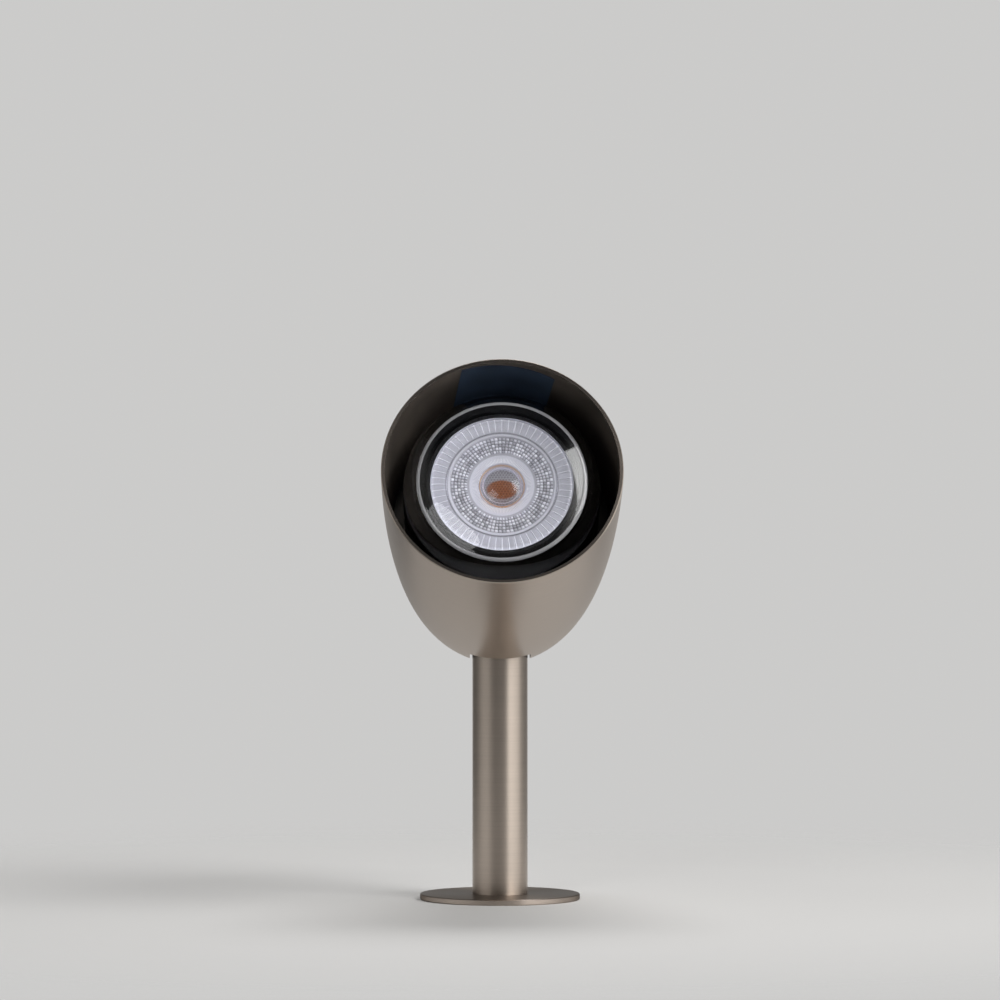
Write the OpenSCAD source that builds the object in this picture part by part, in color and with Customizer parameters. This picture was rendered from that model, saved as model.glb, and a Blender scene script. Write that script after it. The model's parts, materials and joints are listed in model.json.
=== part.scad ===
// Ground spotlight. A bullet-shaped brushed steel shade tilts on top of a tube post with a round foot.
// Inside the shade a sealed black housing holds a plug-in reflector lamp behind a clear quarter-turn cover.
// The origin is the centre of the foot plate's underside. +Z is up, and the lamp shines towards -Y.

/* [Foot and post] */
// Diameter of the round foot plate
plate_d = 55; // [46:1:80]
// Thickness of the foot plate
plate_t = 2; // [1.8:0.1:4]
// Outside diameter of the post tube
post_d = 19; // [18:0.5:22]
// Wall of the post tube
post_wall = 1.2; // [1:0.1:1.3]
// Height of the tilt axis above the ground
pivot_h = 114.7; // [100:0.1:240]
// Height of the plug in the bottom of the post
foot_plug_h = 12; // [8:1:20]
// Thread size of the hole that takes the ground spike
spike_thread_d = 8; // [6:1:8]
// Thread size of the two foot screws
foot_screw_d = 3; // [2.5:0.5:3]
// Height of the cord outlet above the foot plug
outlet_rise = 10; // [8:1:30]
// Diameter of the cord that the outlet, the knuckle and the gland take
cord_d = 7; // [5:0.5:7]
// Wall of the rubber grommet in the cord outlet
grommet_wall = 1.2; // [1:0.1:1.6]

/* [Tilt joint] */
// Elevation of the lamp's axis with the shade down on its stop
rest_tilt = 23; // [15:1:35]
// Thickness of the bracket's steel
bracket_t = 2; // [1.5:0.1:3]
// Half of the bracket's width across the housing's back
bracket_half_w = 22.5; // [22:0.5:24]
// Half of the bracket's height on the housing's back
bracket_half_h = 8; // [7.5:0.1:8.2]
// Radius of the bracket's ears about the tilt axis
ear_r = 7; // [6:0.5:7]
// Distance from the bracket's back to the tilt axis
ear_reach = 8.4; // [8.2:0.1:12]
// Shoulder diameter of the two pivot screws
pivot_d = 6; // [5:0.5:7]
// Thread size of the two pivot screws
pivot_thread_d = 4; // [3:0.5:4.5]
// Radius of the knuckle about the tilt axis
knuckle_r = 7; // [6:0.5:7.5]
// Distance from the tilt axis down to the post's top edge
knuckle_drop = 12; // [11:0.5:16]
// Length of the knuckle's plug inside the post
knuckle_plug_h = 12; // [8:1:20]
// Thickness of the friction washers
friction_t = 0.5; // [0.4:0.1:1]
// Thickness of the spring washers
spring_t = 0.8; // [0.6:0.1:1.2]

/* [Shade] */
// Outside diameter of the shade at its mouth
mouth_d = 80; // [79:0.5:96]
// Length of the shade from mouth to tail
shade_len = 123.5; // [119:0.5:140]
// Wall of the shade
shade_wall = 1.2; // [0.8:0.1:1.5]
// Power of the shade's length in its curve: larger stays straight for longer
shade_bow = 1.93; // [1.8:0.01:2.3]
// Power of the shade's radius in its curve: larger makes a blunter tail
shade_blunt = 3.98; // [3.6:0.01:4.6]
// Bevel on the outside of the mouth's edge
rim_bevel = 0.25; // [0.1:0.05:0.5]
// Gap at each side of the post in the shade's slot
slot_side = 0.9; // [0.5:0.1:1.5]
// Gap between the post and the front end of the slot at rest
slot_stop = 0.35; // [0.3:0.05:1]
// Corner radius at the front end of the slot
slot_corner_r = 0.5; // [0.3:0.1:2]
// Width of the blank film inside the shade's top
label_w = 31; // [20:1:36]
// Length of the blank film
label_l = 30; // [16:1:32]
// Thickness of the blank film
label_t = 0.15; // [0.1:0.05:0.3]

/* [Clear cover] */
// Distance from the mouth back to the cover's face
cover_inset = 8; // [5:0.5:12]
// Wall of the cover
cover_wall = 2.2; // [1.8:0.1:2.6]
// Radius of the cover's rounded front edge
cover_round = 5.8; // [4:0.1:7]
// Length of the cover from its face to its open end
cover_len = 37.5; // [34:0.5:40]
// Angle that the cover turns to come off its lugs
cover_turn = 40; // [36:1:44]
// Angle that each lug covers
lug_angle = 28; // [20:1:30]
// Length of each lug along the axis
lug_len = 3; // [2:0.5:3.5]
// Thickness of the round cover seal
seal_d = 2.4; // [2:0.1:2.6]

/* [Lamp housing] */
// Wall of the lamp housing
housing_wall = 2.2; // [2:0.1:2.6]
// Thickness of the housing's back wall
housing_back = 2.2; // [1.8:0.1:3.5]
// Gap between the housing and the clear cover around it
housing_gap = 1.6; // [1.4:0.1:2]
// Distance from the cover's open end to the housing's flange
flange_gap = 3; // [2.6:0.1:5]
// Thickness of the housing's flange
flange_t = 2.4; // [2:0.1:4]
// Thickness of the steel ring that is welded in the shade
ring_t = 1.5; // [1:0.1:2]
// Length of the steel ring's rim along the shade
ring_len = 7; // [4:0.5:10]
// Thread size of the three housing screws
housing_screw_d = 2.5; // [2:0.5:2.5]
// Thread size of the two bracket screws
bracket_screw_d = 4; // [3:0.5:4]
// Distance of the cord gland above the housing's axis
gland_y = 17; // [16.8:0.1:17.6]
// Width across the flats of the cord gland
gland_flats = 15; // [14:0.5:15.5]

/* [Lampholder] */
// Height of the ceramic lampholder
holder_h = 11.6; // [11:0.1:16]
// Width of the lampholder
holder_w = 27; // [26:0.5:28]
// Depth of the lampholder
holder_dp = 17; // [16:0.5:17]
// Height of the bosses under the lampholder
holder_boss_h = 2; // [1.5:0.1:4]
// Distance of each holder screw from the axis
holder_screw_x = 10.5; // [10:0.1:10.6]
// Thread size of the two holder screws
holder_screw_d = 3; // [2.5:0.5:3]
// Width of the three-way terminal block
terminal_w = 22; // [20:0.5:22]
// Distance between the terminals
terminal_pitch = 7; // [6:0.5:7]

/* [Lamp] */
// Diameter of the lamp's rim
lamp_d = 50; // [49:0.5:51]
// Length of the lamp from its face to its seat
lamp_len = 46.8; // [45:0.1:52]
// Diameter of the lamp's lens
lens_d = 47; // [44:0.5:48]
// Gap between the cover and the lamp's face
lamp_gap = 2.4; // [1:0.1:4]
// Gap between the lamp's rim and the housing
lamp_side_gap = 1.8; // [1.5:0.1:2.2]
// Diameter of the lamp's base
base_d = 28; // [26:0.5:29]
// Distance between the lamp's two pins
pin_spacing = 10; // [10:0.1:10.4]
// Diameter of the head on each pin
pin_head_d = 4.8; // [4.6:0.1:5]
// Diameter of the neck of each pin
pin_neck_d = 3; // [2.6:0.1:3.2]
// Length of each pin
pin_len = 7; // [6.5:0.1:7.4]
// Angle that the lamp turns to come out of its holder
lamp_turn = 40; // [36:1:48]
// Diameter of the light-emitting chip
chip_d = 9; // [6:0.5:11]

/* [Hidden] */
$fn = 96;

// Clearances that pieces share
play = 0.05;
press_gap = 0.03;
weld_gap = 0.1;
free_gap = 0.3;
// Room that a cut runs past a face
over = 1;

// Post, foot plug and knuckle
post_r = post_d / 2;
post_bore_r = post_r - post_wall;
plug_r = post_bore_r - press_gap;
post_top = pivot_h - knuckle_drop;
cord_hole_r = cord_d / 2 + 0.1;
knuckle_step = 0.4;
knuckle_half_w = post_bore_r - knuckle_step;
// Minor diameter of a coarse thread is about 0.85 of its size
spike_tap_r = 0.85 * spike_thread_d / 2;
foot_screw_inset = 0.15;
foot_screw_x = (spike_tap_r + plug_r) / 2 + foot_screw_inset;
foot_screw_len = 9;
plate_bevel = 0.3;
outlet_z = plate_t + foot_plug_h + outlet_rise;
grommet_r = cord_hole_r + grommet_wall;
grommet_flange_w = 1.4;
grommet_flange_r = grommet_r + grommet_flange_w;
// How far the grommet stands out of the tube, and how far it reaches in from the tube's bore
grommet_lip = 1.6;
grommet_reach = 3.6;

// Tilt joint, measured along X from the middle
washer_x = knuckle_half_w + play;
ear_x = washer_x + friction_t + play;
spring_x = ear_x + bracket_t + play;
head_x = spring_x + spring_t;
pivot_head_r = 4.4;
pivot_head_h = 2.6;
pivot_hex_r = pivot_head_r / 2;
pivot_tip_x = cord_hole_r + 0.6;
washer_r = ear_r - 0.6;
spring_cut = 0.8;

// Depths along the shade, measured back from its mouth
cover_back = cover_inset + cover_len;
lamp_face = cover_inset + cover_wall + lamp_gap;
lamp_seat = lamp_face + lamp_len;
seat_gap = 0.2;
holder_face = lamp_seat + seat_gap;
holder_foot = holder_face + holder_h;
floor_depth = holder_foot + holder_boss_h;
housing_end = floor_depth + housing_back;
bracket_back = housing_end + bracket_t;
pivot_depth = bracket_back + ear_reach;
rim_gap = 1.2;
rim_depth = cover_inset + cover_round + rim_gap;
flange_depth = cover_back + flange_gap;
flange_back = flange_depth + flange_t;

// Radii about the shade's axis
housing_ir = lamp_d / 2 + lamp_side_gap;
housing_or = housing_ir + housing_wall;
cover_ir = housing_or + housing_gap;
cover_or = cover_ir + cover_wall;
housing_lug_r = cover_ir - free_gap;
cover_lug_r = housing_or + free_gap;
flange_r = shade_r(flange_back, shade_wall) - free_gap;
ring_side_gap = 1.5;
ring_ir = housing_or + ring_side_gap;
housing_screw_r = (ring_ir + flange_r) / 2;
groove_play = 0.4;
groove_land = 2.4;
groove_w = seal_d + groove_play;
seal_depth = rim_depth + groove_land + groove_w / 2;
seal_r = cover_ir - play - seal_d / 2;
groove_r = seal_r - seal_d / 2 - play;

// Quarter-turn lugs: the cover's sit behind the housing's
lug_inset = 3.2;
// How deep a lug's root sits in the wall that carries it
lug_root = 0.5;
cover_lug_depth = cover_back - lug_inset - lug_len;
housing_lug_depth = cover_lug_depth - free_gap - lug_len;
lug_count = 3;
lug_start = 90;
lug_gap_angle = lug_angle + 4;
stop_angle = 4;
stop_play = 0.6;

// The slot starts where the post's front meets the inside of the shade
curve_steps = 44;
slot_half = post_r + slot_side;
slot_front = post_front(shade_r(pivot_depth, shade_wall), 6) + slot_stop;
// The tail's hole is as wide as the slot, and runs this far up the axis
tail_hole = shade_len / 6;

// Blank film: its distance from the mouth, its shift to +X and its skew
label_inset = 2.8;
label_shift = 0.6;
label_skew = 5.8;

// Housing's back: its chamfer, its bosses and the floor left under their holes
housing_chamfer = 2;
bracket_screw_x = bracket_half_w - 4.5;
bracket_boss_r = bracket_screw_d / 2 + 1.5;
bracket_boss_h = 8;
boss_tip = 2;
// Depth of a boss's hole from the housing's back face
boss_hole_h = housing_back + bracket_boss_h - boss_tip;
holder_boss_r = holder_screw_d;
holder_hole_floor = 0.8;
bracket_hole_play = 0.2;

// Cord gland: a threaded body with a hexagon, a sleeve in its neck, a cap nut and a lock nut
gland_thread_r = 0.4 * gland_flats;
gland_hex_r = gland_flats / 2 / cos(30);
gland_hex_h = 3.4;
gland_neck_r = gland_thread_r - 0.4;
gland_neck_h = 3;
gland_sleeve_t = 0.9;
gland_nut_h = 5;
gland_nut_r = gland_hex_r - 0.4;
gland_lock_h = 2.4;
gland_thread_end = 0.6;

// Lampholder, terminals and lamp
pin_r = pin_spacing / 2;
slot_lip = 3.4;
pocket_depth = 5;
key_neck_r = pin_neck_d / 2 + 0.3;
key_head_r = pin_head_d / 2 + 0.35;
terminal_y = 18;
terminal_half_dp = 5.8;
terminal_h = 10;
terminal_r = 2.2;
clamp_screw_r = 1.5;
clamp_inset = 0.6;
lead_depth = holder_foot - 1.6;
lead_r = 1;
// How far each lead's hole goes into the holder, and each lead into its terminal
lead_seat = 2;
lead_play = 0.2;
lens_r = lens_d / 2;
lamp_r = lamp_d / 2;
base_r = base_d / 2;
lamp_shell_t = 1.5;
// Lamp's outline: its rim, its shoulder, and the flare above its base
lamp_edge = 0.4;
lamp_rim_h = 4;
lamp_shoulder_h = 12;
lamp_shoulder_in = 2;
lamp_flare_r = base_r + 4;
lamp_flare_h = 6;
base_h = 14;
base_edge_r = 1.5;
base_edge_h = 4;
base_top = lamp_seat - base_h;
lens_edge = 0.5;
lens_edge_h = 2.9;
lens_back = lamp_face + lens_edge + lens_edge_h;
lens_shelf = lens_back + 0.2;
// Lens's dome, the moat round it, the sunk ring that its ribs lie in, and the air over the chip
dome_r = 0.82 * chip_d;
dome_crown = 0.6;
dome_side = 2.2;
moat_depth = 3;
moat_w = 0.06 * dome_r;
sunk_ring_r = 0.5 * lens_r;
sunk_ring_w = 0.2 * lens_r;
sunk_ring_depth = 1.3;
sunk_ring_step = 0.8;
collar_r = 1.3 * dome_r;
chip_air = 1.2;
board_depth = lamp_face + 11.5;
board_t = 1.6;
board_r = 17;
board_ledge = 1;
board_ledge_t = 0.5;
board_back = board_depth + board_t;
chip_t = 1;
pin_head_h = 2.6;
pin_root = 0.5;
driver_t = 1.6;
driver_foot_gap = 2.4;
driver_foot = lamp_seat - lamp_shell_t - driver_foot_gap;
driver_mid = (board_back + 2 * lamp_shell_t + lamp_seat) / 2;
// Parts on the driver board: how far they lie from its middle, and their sizes
part_gap = 0.1;
capacitor_r = 3.5;
capacitor_h = 12;
capacitor_x = 4;
coil_r = 4;
coil_h = 5;
coil_x = 5;
control_w = 6;
control_h = 5;
control_t = 1.6;
control_drop = 3;

// Colours
STEEL = [0.62, 0.59, 0.55];
ZINC = [0.7, 0.7, 0.7];
BLACK = [0.06, 0.06, 0.07];
CLEAR = [0.8, 0.85, 0.9, 0.35];
WHITE = [0.9, 0.9, 0.9];
IVORY = [0.85, 0.85, 0.83];
CERAMIC = [0.93, 0.92, 0.88];
BRASS = [0.78, 0.62, 0.3];
FIBRE = [0.25, 0.2, 0.16];
FILM = [0.16, 0.22, 0.32];
RUBBER = [0.2, 0.2, 0.2];
SILICONE = [0.3, 0.3, 0.32];
LENS = [0.88, 0.88, 0.93, 0.6];
BOARD_METAL = [0.75, 0.75, 0.78];
PHOSPHOR = [0.85, 0.45, 0.15];
BOARD_GREEN = [0.1, 0.35, 0.18];
DARK = [0.2, 0.2, 0.24];

// Radius of the shade at a depth from its mouth, w inside its outer face
function shade_r(s, w) =
    (mouth_d / 2 - w) * pow(max(0, 1 - pow(max(0, s) / (shade_len - w), shade_bow)), 1 / shade_blunt);

// Points of that curve from near the mouth to the tail
function shade_curve(w, first) = [
    for (i = [first : curve_steps])
        let (t = 90 * i / curve_steps)
            [
                (mouth_d / 2 - w) * pow(cos(t), 2 / shade_blunt),
                -(shade_len - w) * pow(sin(t), 2 / shade_bow)
            ]
];

// Height along the axis, from the pivot, at which the post's front passes a point y below the axis
function front_at(y) = post_r * cos(rest_tilt) - (y - post_r * sin(rest_tilt)) * tan(rest_tilt);

// The same where the post's front meets the shade's inner face, found by repeating
function post_front(y, n) =
    n == 0 ? front_at(y) : post_front(shade_r(pivot_depth - front_at(y), shade_wall), n - 1);

function reversed(v) = [for (i = [len(v) - 1 : -1 : 0]) v[i]];

// Places the head's pieces: z = 0 is the mouth, and the axis runs back to -shade_len
module in_head() {
    translate([0, 0, pivot_h])
        rotate([90 - rest_tilt, 0, 0])
            translate([0, 0, pivot_depth])
                children();
}

// Places its children at a depth behind the mouth
module at_depth(s) {
    translate([0, 0, -s])
        children();
}

// Copies its children on both sides of the middle plane
module both_sides() {
    children();
    mirror([1, 0, 0])
        children();
}

// A ring from r1 to r2 that stands on z = 0
module ring(r1, r2, h) {
    difference() {
        cylinder(r = r2, h = h);
        translate([0, 0, -over])
            cylinder(r = r1, h = h + 2 * over);
    }
}

// Part of a ring, from angle a over the angle w
module ring_part(r1, r2, h, a, w) {
    rotate([0, 0, a])
        rotate_extrude(angle = w)
            translate([r1, 0])
                square([r2 - r1, h]);
}

// A screw that hangs down from z = 0, with its head above and a cross recess
module pan_screw(d, length) {
    head_r = 0.92 * d;
    head_h = 0.6 * d;
    difference() {
        union() {
            translate([0, 0, -length])
                cylinder(d = d, h = length);
            cylinder(r1 = head_r, r2 = 0.8 * head_r, h = head_h);
        }
        for (a = [0, 90])
            rotate([0, 0, a])
                translate([-d / 2, -d / 10, head_h / 2])
                    cube([d, d / 5, head_h]);
    }
}

// A countersunk screw whose flat head lies at z = 0 and whose shank hangs down
module flat_screw(d, length) {
    head_h = 0.5 * d;
    difference() {
        union() {
            translate([0, 0, -length])
                cylinder(d = d, h = length);
            translate([0, 0, -head_h])
                cylinder(r1 = d / 2, r2 = 0.9 * d, h = head_h);
        }
        for (a = [0, 90])
            rotate([0, 0, a])
                translate([-d / 2, -d / 10, -head_h / 2])
                    cube([d, d / 5, head_h]);
    }
}

// The hole that a countersunk screw fills
module flat_screw_hole(d, length) {
    head_h = 0.5 * d;
    translate([0, 0, -length])
        cylinder(r = d / 2 + press_gap, h = length + over);
    translate([0, 0, -head_h])
        cylinder(r1 = d / 2 + press_gap, r2 = 0.9 * d + press_gap, h = head_h);
    cylinder(r = 0.9 * d + press_gap, h = over);
}

// Round foot plate, with a way through for the spike's thread and two countersunk holes
module base_plate() {
    color(STEEL)
        difference() {
            rotate_extrude()
                polygon([
                    [0, 0],
                    [plate_d / 2 - plate_bevel, 0],
                    [plate_d / 2, plate_bevel],
                    [plate_d / 2, plate_t - plate_bevel],
                    [plate_d / 2 - plate_bevel, plate_t],
                    [0, plate_t]
                ]);
            translate([0, 0, -over])
                cylinder(r = spike_tap_r, h = plate_t + 2 * over);
            foot_screw_places()
                flat_screw_hole(foot_screw_d, foot_screw_len);
        }
}

// The two foot screws point up, with their heads just inside the plate's underside
module foot_screw_places() {
    both_sides()
        translate([foot_screw_x, 0, foot_screw_inset])
            mirror([0, 0, 1])
                children();
}

// Steel plug in the bottom of the post, threaded for the spike
module foot_plug() {
    color(ZINC)
        difference() {
            translate([0, 0, plate_t])
                cylinder(r = plug_r, h = foot_plug_h);
            cylinder(r = spike_tap_r, h = plate_t + foot_plug_h + over);
            foot_screw_places()
                flat_screw_hole(foot_screw_d, foot_screw_len);
        }
}

// Two countersunk screws that hold the plate to the plug
module foot_screws() {
    color(ZINC)
        foot_screw_places()
            flat_screw(foot_screw_d, foot_screw_len);
}

// Tube post, with the cord outlet low in its back
module post_tube() {
    color(STEEL)
        difference() {
            translate([0, 0, plate_t])
                ring(post_bore_r, post_r, post_top - plate_t);
            outlet_axis()
                cylinder(r = grommet_r + press_gap, h = 2 * post_r);
        }
}

// Places its children on the cord outlet's axis, which points out of the back
module outlet_axis() {
    translate([0, 0, outlet_z])
        rotate([-90, 0, 0])
            children();
}

// Rubber grommet that lines the cord outlet, with a lip inside and outside the tube
module cable_grommet() {
    color(BLACK)
        difference() {
            outlet_axis() {
                cylinder(r = grommet_r, h = post_r + grommet_lip);
                intersection() {
                    cylinder(r = grommet_flange_r, h = post_bore_r);
                    grommet_tube(post_bore_r - press_gap);
                }
                difference() {
                    cylinder(r = grommet_flange_r, h = post_r + grommet_lip);
                    grommet_tube(post_r + press_gap);
                }
            }
            outlet_axis()
                translate([0, 0, -over])
                    cylinder(r = cord_hole_r, h = 2 * post_r);
            grommet_clearance();
        }
}

// A cylinder along the post's axis, in the outlet's own frame
module grommet_tube(r) {
    rotate([90, 0, 0])
        cylinder(r = r, h = 4 * grommet_flange_r, center = true);
}

// Keeps the middle of the post free of the grommet
module grommet_clearance() {
    translate([-post_r, -post_r, outlet_z - 2 * grommet_flange_r])
        cube([post_d, post_r + post_bore_r - grommet_reach, 4 * grommet_flange_r]);
}

// Knuckle pressed into the top of the post, bored along the post for the cord.
// The pivot screws' threads go in from its sides
module post_knuckle() {
    color(ZINC)
        difference() {
            union() {
                translate([0, 0, post_top - knuckle_plug_h])
                    cylinder(r = plug_r, h = knuckle_plug_h);
                intersection() {
                    translate([-knuckle_half_w, -knuckle_r, post_top])
                        cube([2 * knuckle_half_w, 2 * knuckle_r, knuckle_drop]);
                    translate([0, 0, post_top])
                        cylinder(r = post_r, h = knuckle_drop);
                }
                intersection() {
                    translate([-knuckle_half_w, 0, pivot_h])
                        rotate([0, 90, 0])
                            cylinder(r = knuckle_r, h = 2 * knuckle_half_w);
                    translate([0, 0, pivot_h - knuckle_r])
                        cylinder(r = post_r, h = 2 * knuckle_r);
                }
            }
            translate([0, 0, post_top - knuckle_plug_h - over])
                cylinder(r = cord_hole_r, h = knuckle_plug_h + knuckle_drop + knuckle_r + 2 * over);
            both_sides()
                pivot_axis(0)
                    cylinder(r = pivot_thread_d / 2 + press_gap, h = knuckle_half_w + over);
        }
}

// Places its children on the tilt axis, x from the middle, pointing out to +X
module pivot_axis(x) {
    translate([x, 0, pivot_h])
        rotate([0, 90, 0])
            children();
}

// Fibre washers between the knuckle and the ears, which hold the tilt
module friction_washers() {
    color(FIBRE)
        both_sides()
            pivot_axis(washer_x)
                ring(pivot_d / 2 + play, washer_r, friction_t);
}

// Split washers under the pivot screws' heads
module spring_washers() {
    color(ZINC)
        both_sides()
            pivot_axis(spring_x)
                difference() {
                    ring(pivot_d / 2 + play, pivot_head_r, spring_t);
                    translate([0, -spring_cut / 2, -over])
                        cube([2 * pivot_head_r, spring_cut, spring_t + 2 * over]);
                }
}

// Shoulder screws: the bracket's ears turn on their shoulders
module pivot_screws() {
    color(ZINC)
        both_sides() {
            pivot_axis(pivot_tip_x)
                cylinder(d = pivot_thread_d, h = knuckle_half_w - pivot_tip_x + play);
            pivot_axis(knuckle_half_w)
                cylinder(d = pivot_d, h = head_x - knuckle_half_w);
            pivot_axis(head_x)
                difference() {
                    cylinder(r = pivot_head_r, h = pivot_head_h);
                    translate([0, 0, pivot_head_h / 3])
                        cylinder(r = pivot_hex_r, h = pivot_head_h, $fn = 6);
                }
        }
}

// Shade: one curve turned about its axis, with a slot for the post from its underside round to its tail
module shade() {
    outer = concat(
        [[mouth_d / 2 - rim_bevel, 0], [mouth_d / 2, -rim_bevel]],
        shade_curve(0, 1)
    );
    inner = concat([[mouth_d / 2 - shade_wall, 0]], shade_curve(shade_wall, 1));
    color(STEEL)
        in_head()
            difference() {
                rotate_extrude()
                    polygon(concat(outer, reversed(inner)));
                shade_slot();
            }
}

// The slot that the post stands in, and the hole that it ends in at the tail
module shade_slot() {
    slot_z = slot_front - pivot_depth;
    tail_z = -shade_len - over;
    c = slot_corner_r;
    rotate([90, 0, 0])
        linear_extrude(height = mouth_d) {
            translate([-slot_half, tail_z])
                square([2 * slot_half, slot_z - c - tail_z]);
            translate([c - slot_half, tail_z])
                square([2 * slot_half - 2 * c, slot_z - tail_z]);
            for (side = [-1, 1])
                translate([side * (slot_half - c), slot_z - c])
                    circle(r = c);
        }
    translate([0, 0, tail_z])
        cylinder(r = slot_half, h = tail_hole);
}

// Steel ring welded inside the shade, which the housing's flange screws to
module shade_ring() {
    steps = 5;
    rim = [
        for (i = [0 : steps])
            let (s = flange_back + ring_len * i / steps)
                [shade_r(s, shade_wall) - weld_gap, -s]
    ];
    inside = [
        for (i = [steps : -1 : 0])
            let (s = flange_back + ring_t + (ring_len - ring_t) * i / steps)
                [shade_r(s, shade_wall) - weld_gap - ring_t, -s]
    ];
    color(ZINC)
        in_head()
            difference() {
                rotate_extrude()
                    polygon(concat(
                        [[ring_ir, -flange_back]],
                        rim,
                        inside,
                        [[ring_ir, -flange_back - ring_t]]
                    ));
                housing_screw_places()
                    cylinder(r = housing_screw_d / 2 + press_gap, h = 4 * ring_t, center = true);
            }
}

// Three places round the flange, with z = 0 on its back face
module housing_screw_places() {
    for (a = [0 : 120 : 240])
        rotate([0, 0, a + 90])
            translate([housing_screw_r, 0, -flange_back])
                children();
}

// Blank film stuck inside the top of the shade
module label_film() {
    middle_depth = label_inset + label_l / 2;
    outer = shade_curve(shade_wall + weld_gap, 0);
    inner = shade_curve(shade_wall + weld_gap + label_t, 0);
    color(FILM)
        in_head()
            intersection() {
                rotate_extrude()
                    polygon(concat(outer, reversed(inner)));
                translate([label_shift, 0, -middle_depth])
                    rotate([0, label_skew, 0])
                        translate([-label_w / 2, 0, -label_l / 2])
                            cube([label_w, mouth_d, label_l]);
            }
}

// Pressed bracket: a plate on the housing's back with two ears bent out to the tilt axis
module tilt_bracket() {
    color(ZINC)
        in_head()
            difference() {
                union() {
                    at_depth(bracket_back)
                        translate([-bracket_half_w, -bracket_half_h, 0])
                            cube([2 * bracket_half_w, 2 * bracket_half_h, bracket_t]);
                    both_sides() {
                        at_depth(pivot_depth)
                            translate([ear_x, -ear_r, 0])
                                cube([bracket_t, 2 * ear_r, ear_reach + bracket_t / 2]);
                        at_depth(pivot_depth)
                            translate([ear_x, 0, 0])
                                rotate([0, 90, 0])
                                    cylinder(r = ear_r, h = bracket_t);
                    }
                }
                at_depth(pivot_depth)
                    rotate([0, 90, 0])
                        cylinder(r = pivot_d / 2 + play, h = 3 * head_x, center = true);
                both_sides()
                    at_depth(bracket_back + over)
                        translate([bracket_screw_x, 0, 0])
                            cylinder(r = bracket_screw_d / 2 + bracket_hole_play, h = bracket_t + 2 * over);
            }
}

// Two screws through the bracket into the housing's bosses
module bracket_screws() {
    color(ZINC)
        in_head()
            both_sides()
                at_depth(bracket_back)
                    translate([bracket_screw_x, 0, 0])
                        mirror([0, 0, 1])
                            pan_screw(bracket_screw_d, bracket_t + boss_hole_h);
}

// Moulded housing: a cup with a seal groove, lugs and a flange outside, and bosses on its floor
module lamp_housing() {
    color(BLACK)
        in_head()
            difference() {
                union() {
                    rotate_extrude()
                        polygon(housing_profile());
                    housing_lugs();
                    housing_stops();
                    both_sides()
                        at_depth(floor_depth + over)
                            translate([bracket_screw_x, 0, 0])
                                cylinder(r = bracket_boss_r, h = bracket_boss_h + over);
                    both_sides()
                        at_depth(floor_depth + over)
                            translate([holder_screw_x, 0, 0])
                                cylinder(r = holder_boss_r, h = holder_boss_h + over);
                }
                housing_screw_places()
                    cylinder(r = housing_screw_d / 2 + press_gap, h = 4 * flange_t, center = true);
                both_sides()
                    at_depth(housing_end + over)
                        translate([bracket_screw_x, 0, 0])
                            cylinder(r = bracket_screw_d / 2 + press_gap, h = boss_hole_h + over);
                both_sides()
                    at_depth(housing_end - holder_hole_floor)
                        translate([holder_screw_x, 0, 0])
                            cylinder(r = holder_screw_d / 2 + press_gap, h = housing_back + holder_boss_h + over);
                at_depth(housing_end + over)
                    translate([0, gland_y, 0])
                        cylinder(r = gland_thread_r + press_gap, h = housing_back + 2 * over);
            }
}

// Half section of the housing without its lugs, bosses and holes
function housing_profile() = [
    [housing_ir, -rim_depth],
    [housing_or, -rim_depth],
    [housing_or, groove_w / 2 - seal_depth],
    [groove_r, groove_w / 2 - seal_depth],
    [groove_r, -groove_w / 2 - seal_depth],
    [housing_or, -groove_w / 2 - seal_depth],
    [housing_or, -flange_depth],
    [flange_r, -flange_depth],
    [flange_r, -flange_back],
    [housing_or, -flange_back],
    [housing_or, housing_chamfer - housing_end],
    [housing_or - housing_chamfer, -housing_end],
    [0, -housing_end],
    [0, -floor_depth],
    [housing_ir, -floor_depth]
];

// Lugs round the housing, with gaps that let the cover's lugs in
module housing_lugs() {
    for (i = [0 : lug_count - 1])
        at_depth(housing_lug_depth + lug_len)
            ring_part(
                housing_or - lug_root, housing_lug_r, lug_len,
                lug_start + i * 360 / lug_count + cover_turn + lug_gap_angle / 2,
                360 / lug_count - lug_gap_angle
            );
}

// Stops behind those lugs at both ends of the cover's travel
module housing_stops() {
    for (i = [0 : lug_count - 1])
        for (a = [-lug_angle / 2 - stop_play - stop_angle, cover_turn + lug_angle / 2 + stop_play])
            at_depth(cover_lug_depth + lug_len)
                ring_part(
                    housing_or - lug_root, housing_lug_r, lug_len,
                    lug_start + i * 360 / lug_count + a, stop_angle
                );
}

// Three screws through the housing's flange into the steel ring
module housing_screws() {
    color(ZINC)
        in_head()
            housing_screw_places()
                translate([0, 0, flange_t])
                    pan_screw(housing_screw_d, flange_t + ring_t + 1);
}

// Places its children on the cord gland's axis at a depth, pointing out of the housing's back
module gland_axis(depth) {
    in_head()
        at_depth(depth)
            translate([0, gland_y, 0])
                mirror([0, 0, 1])
                    children();
}

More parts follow.
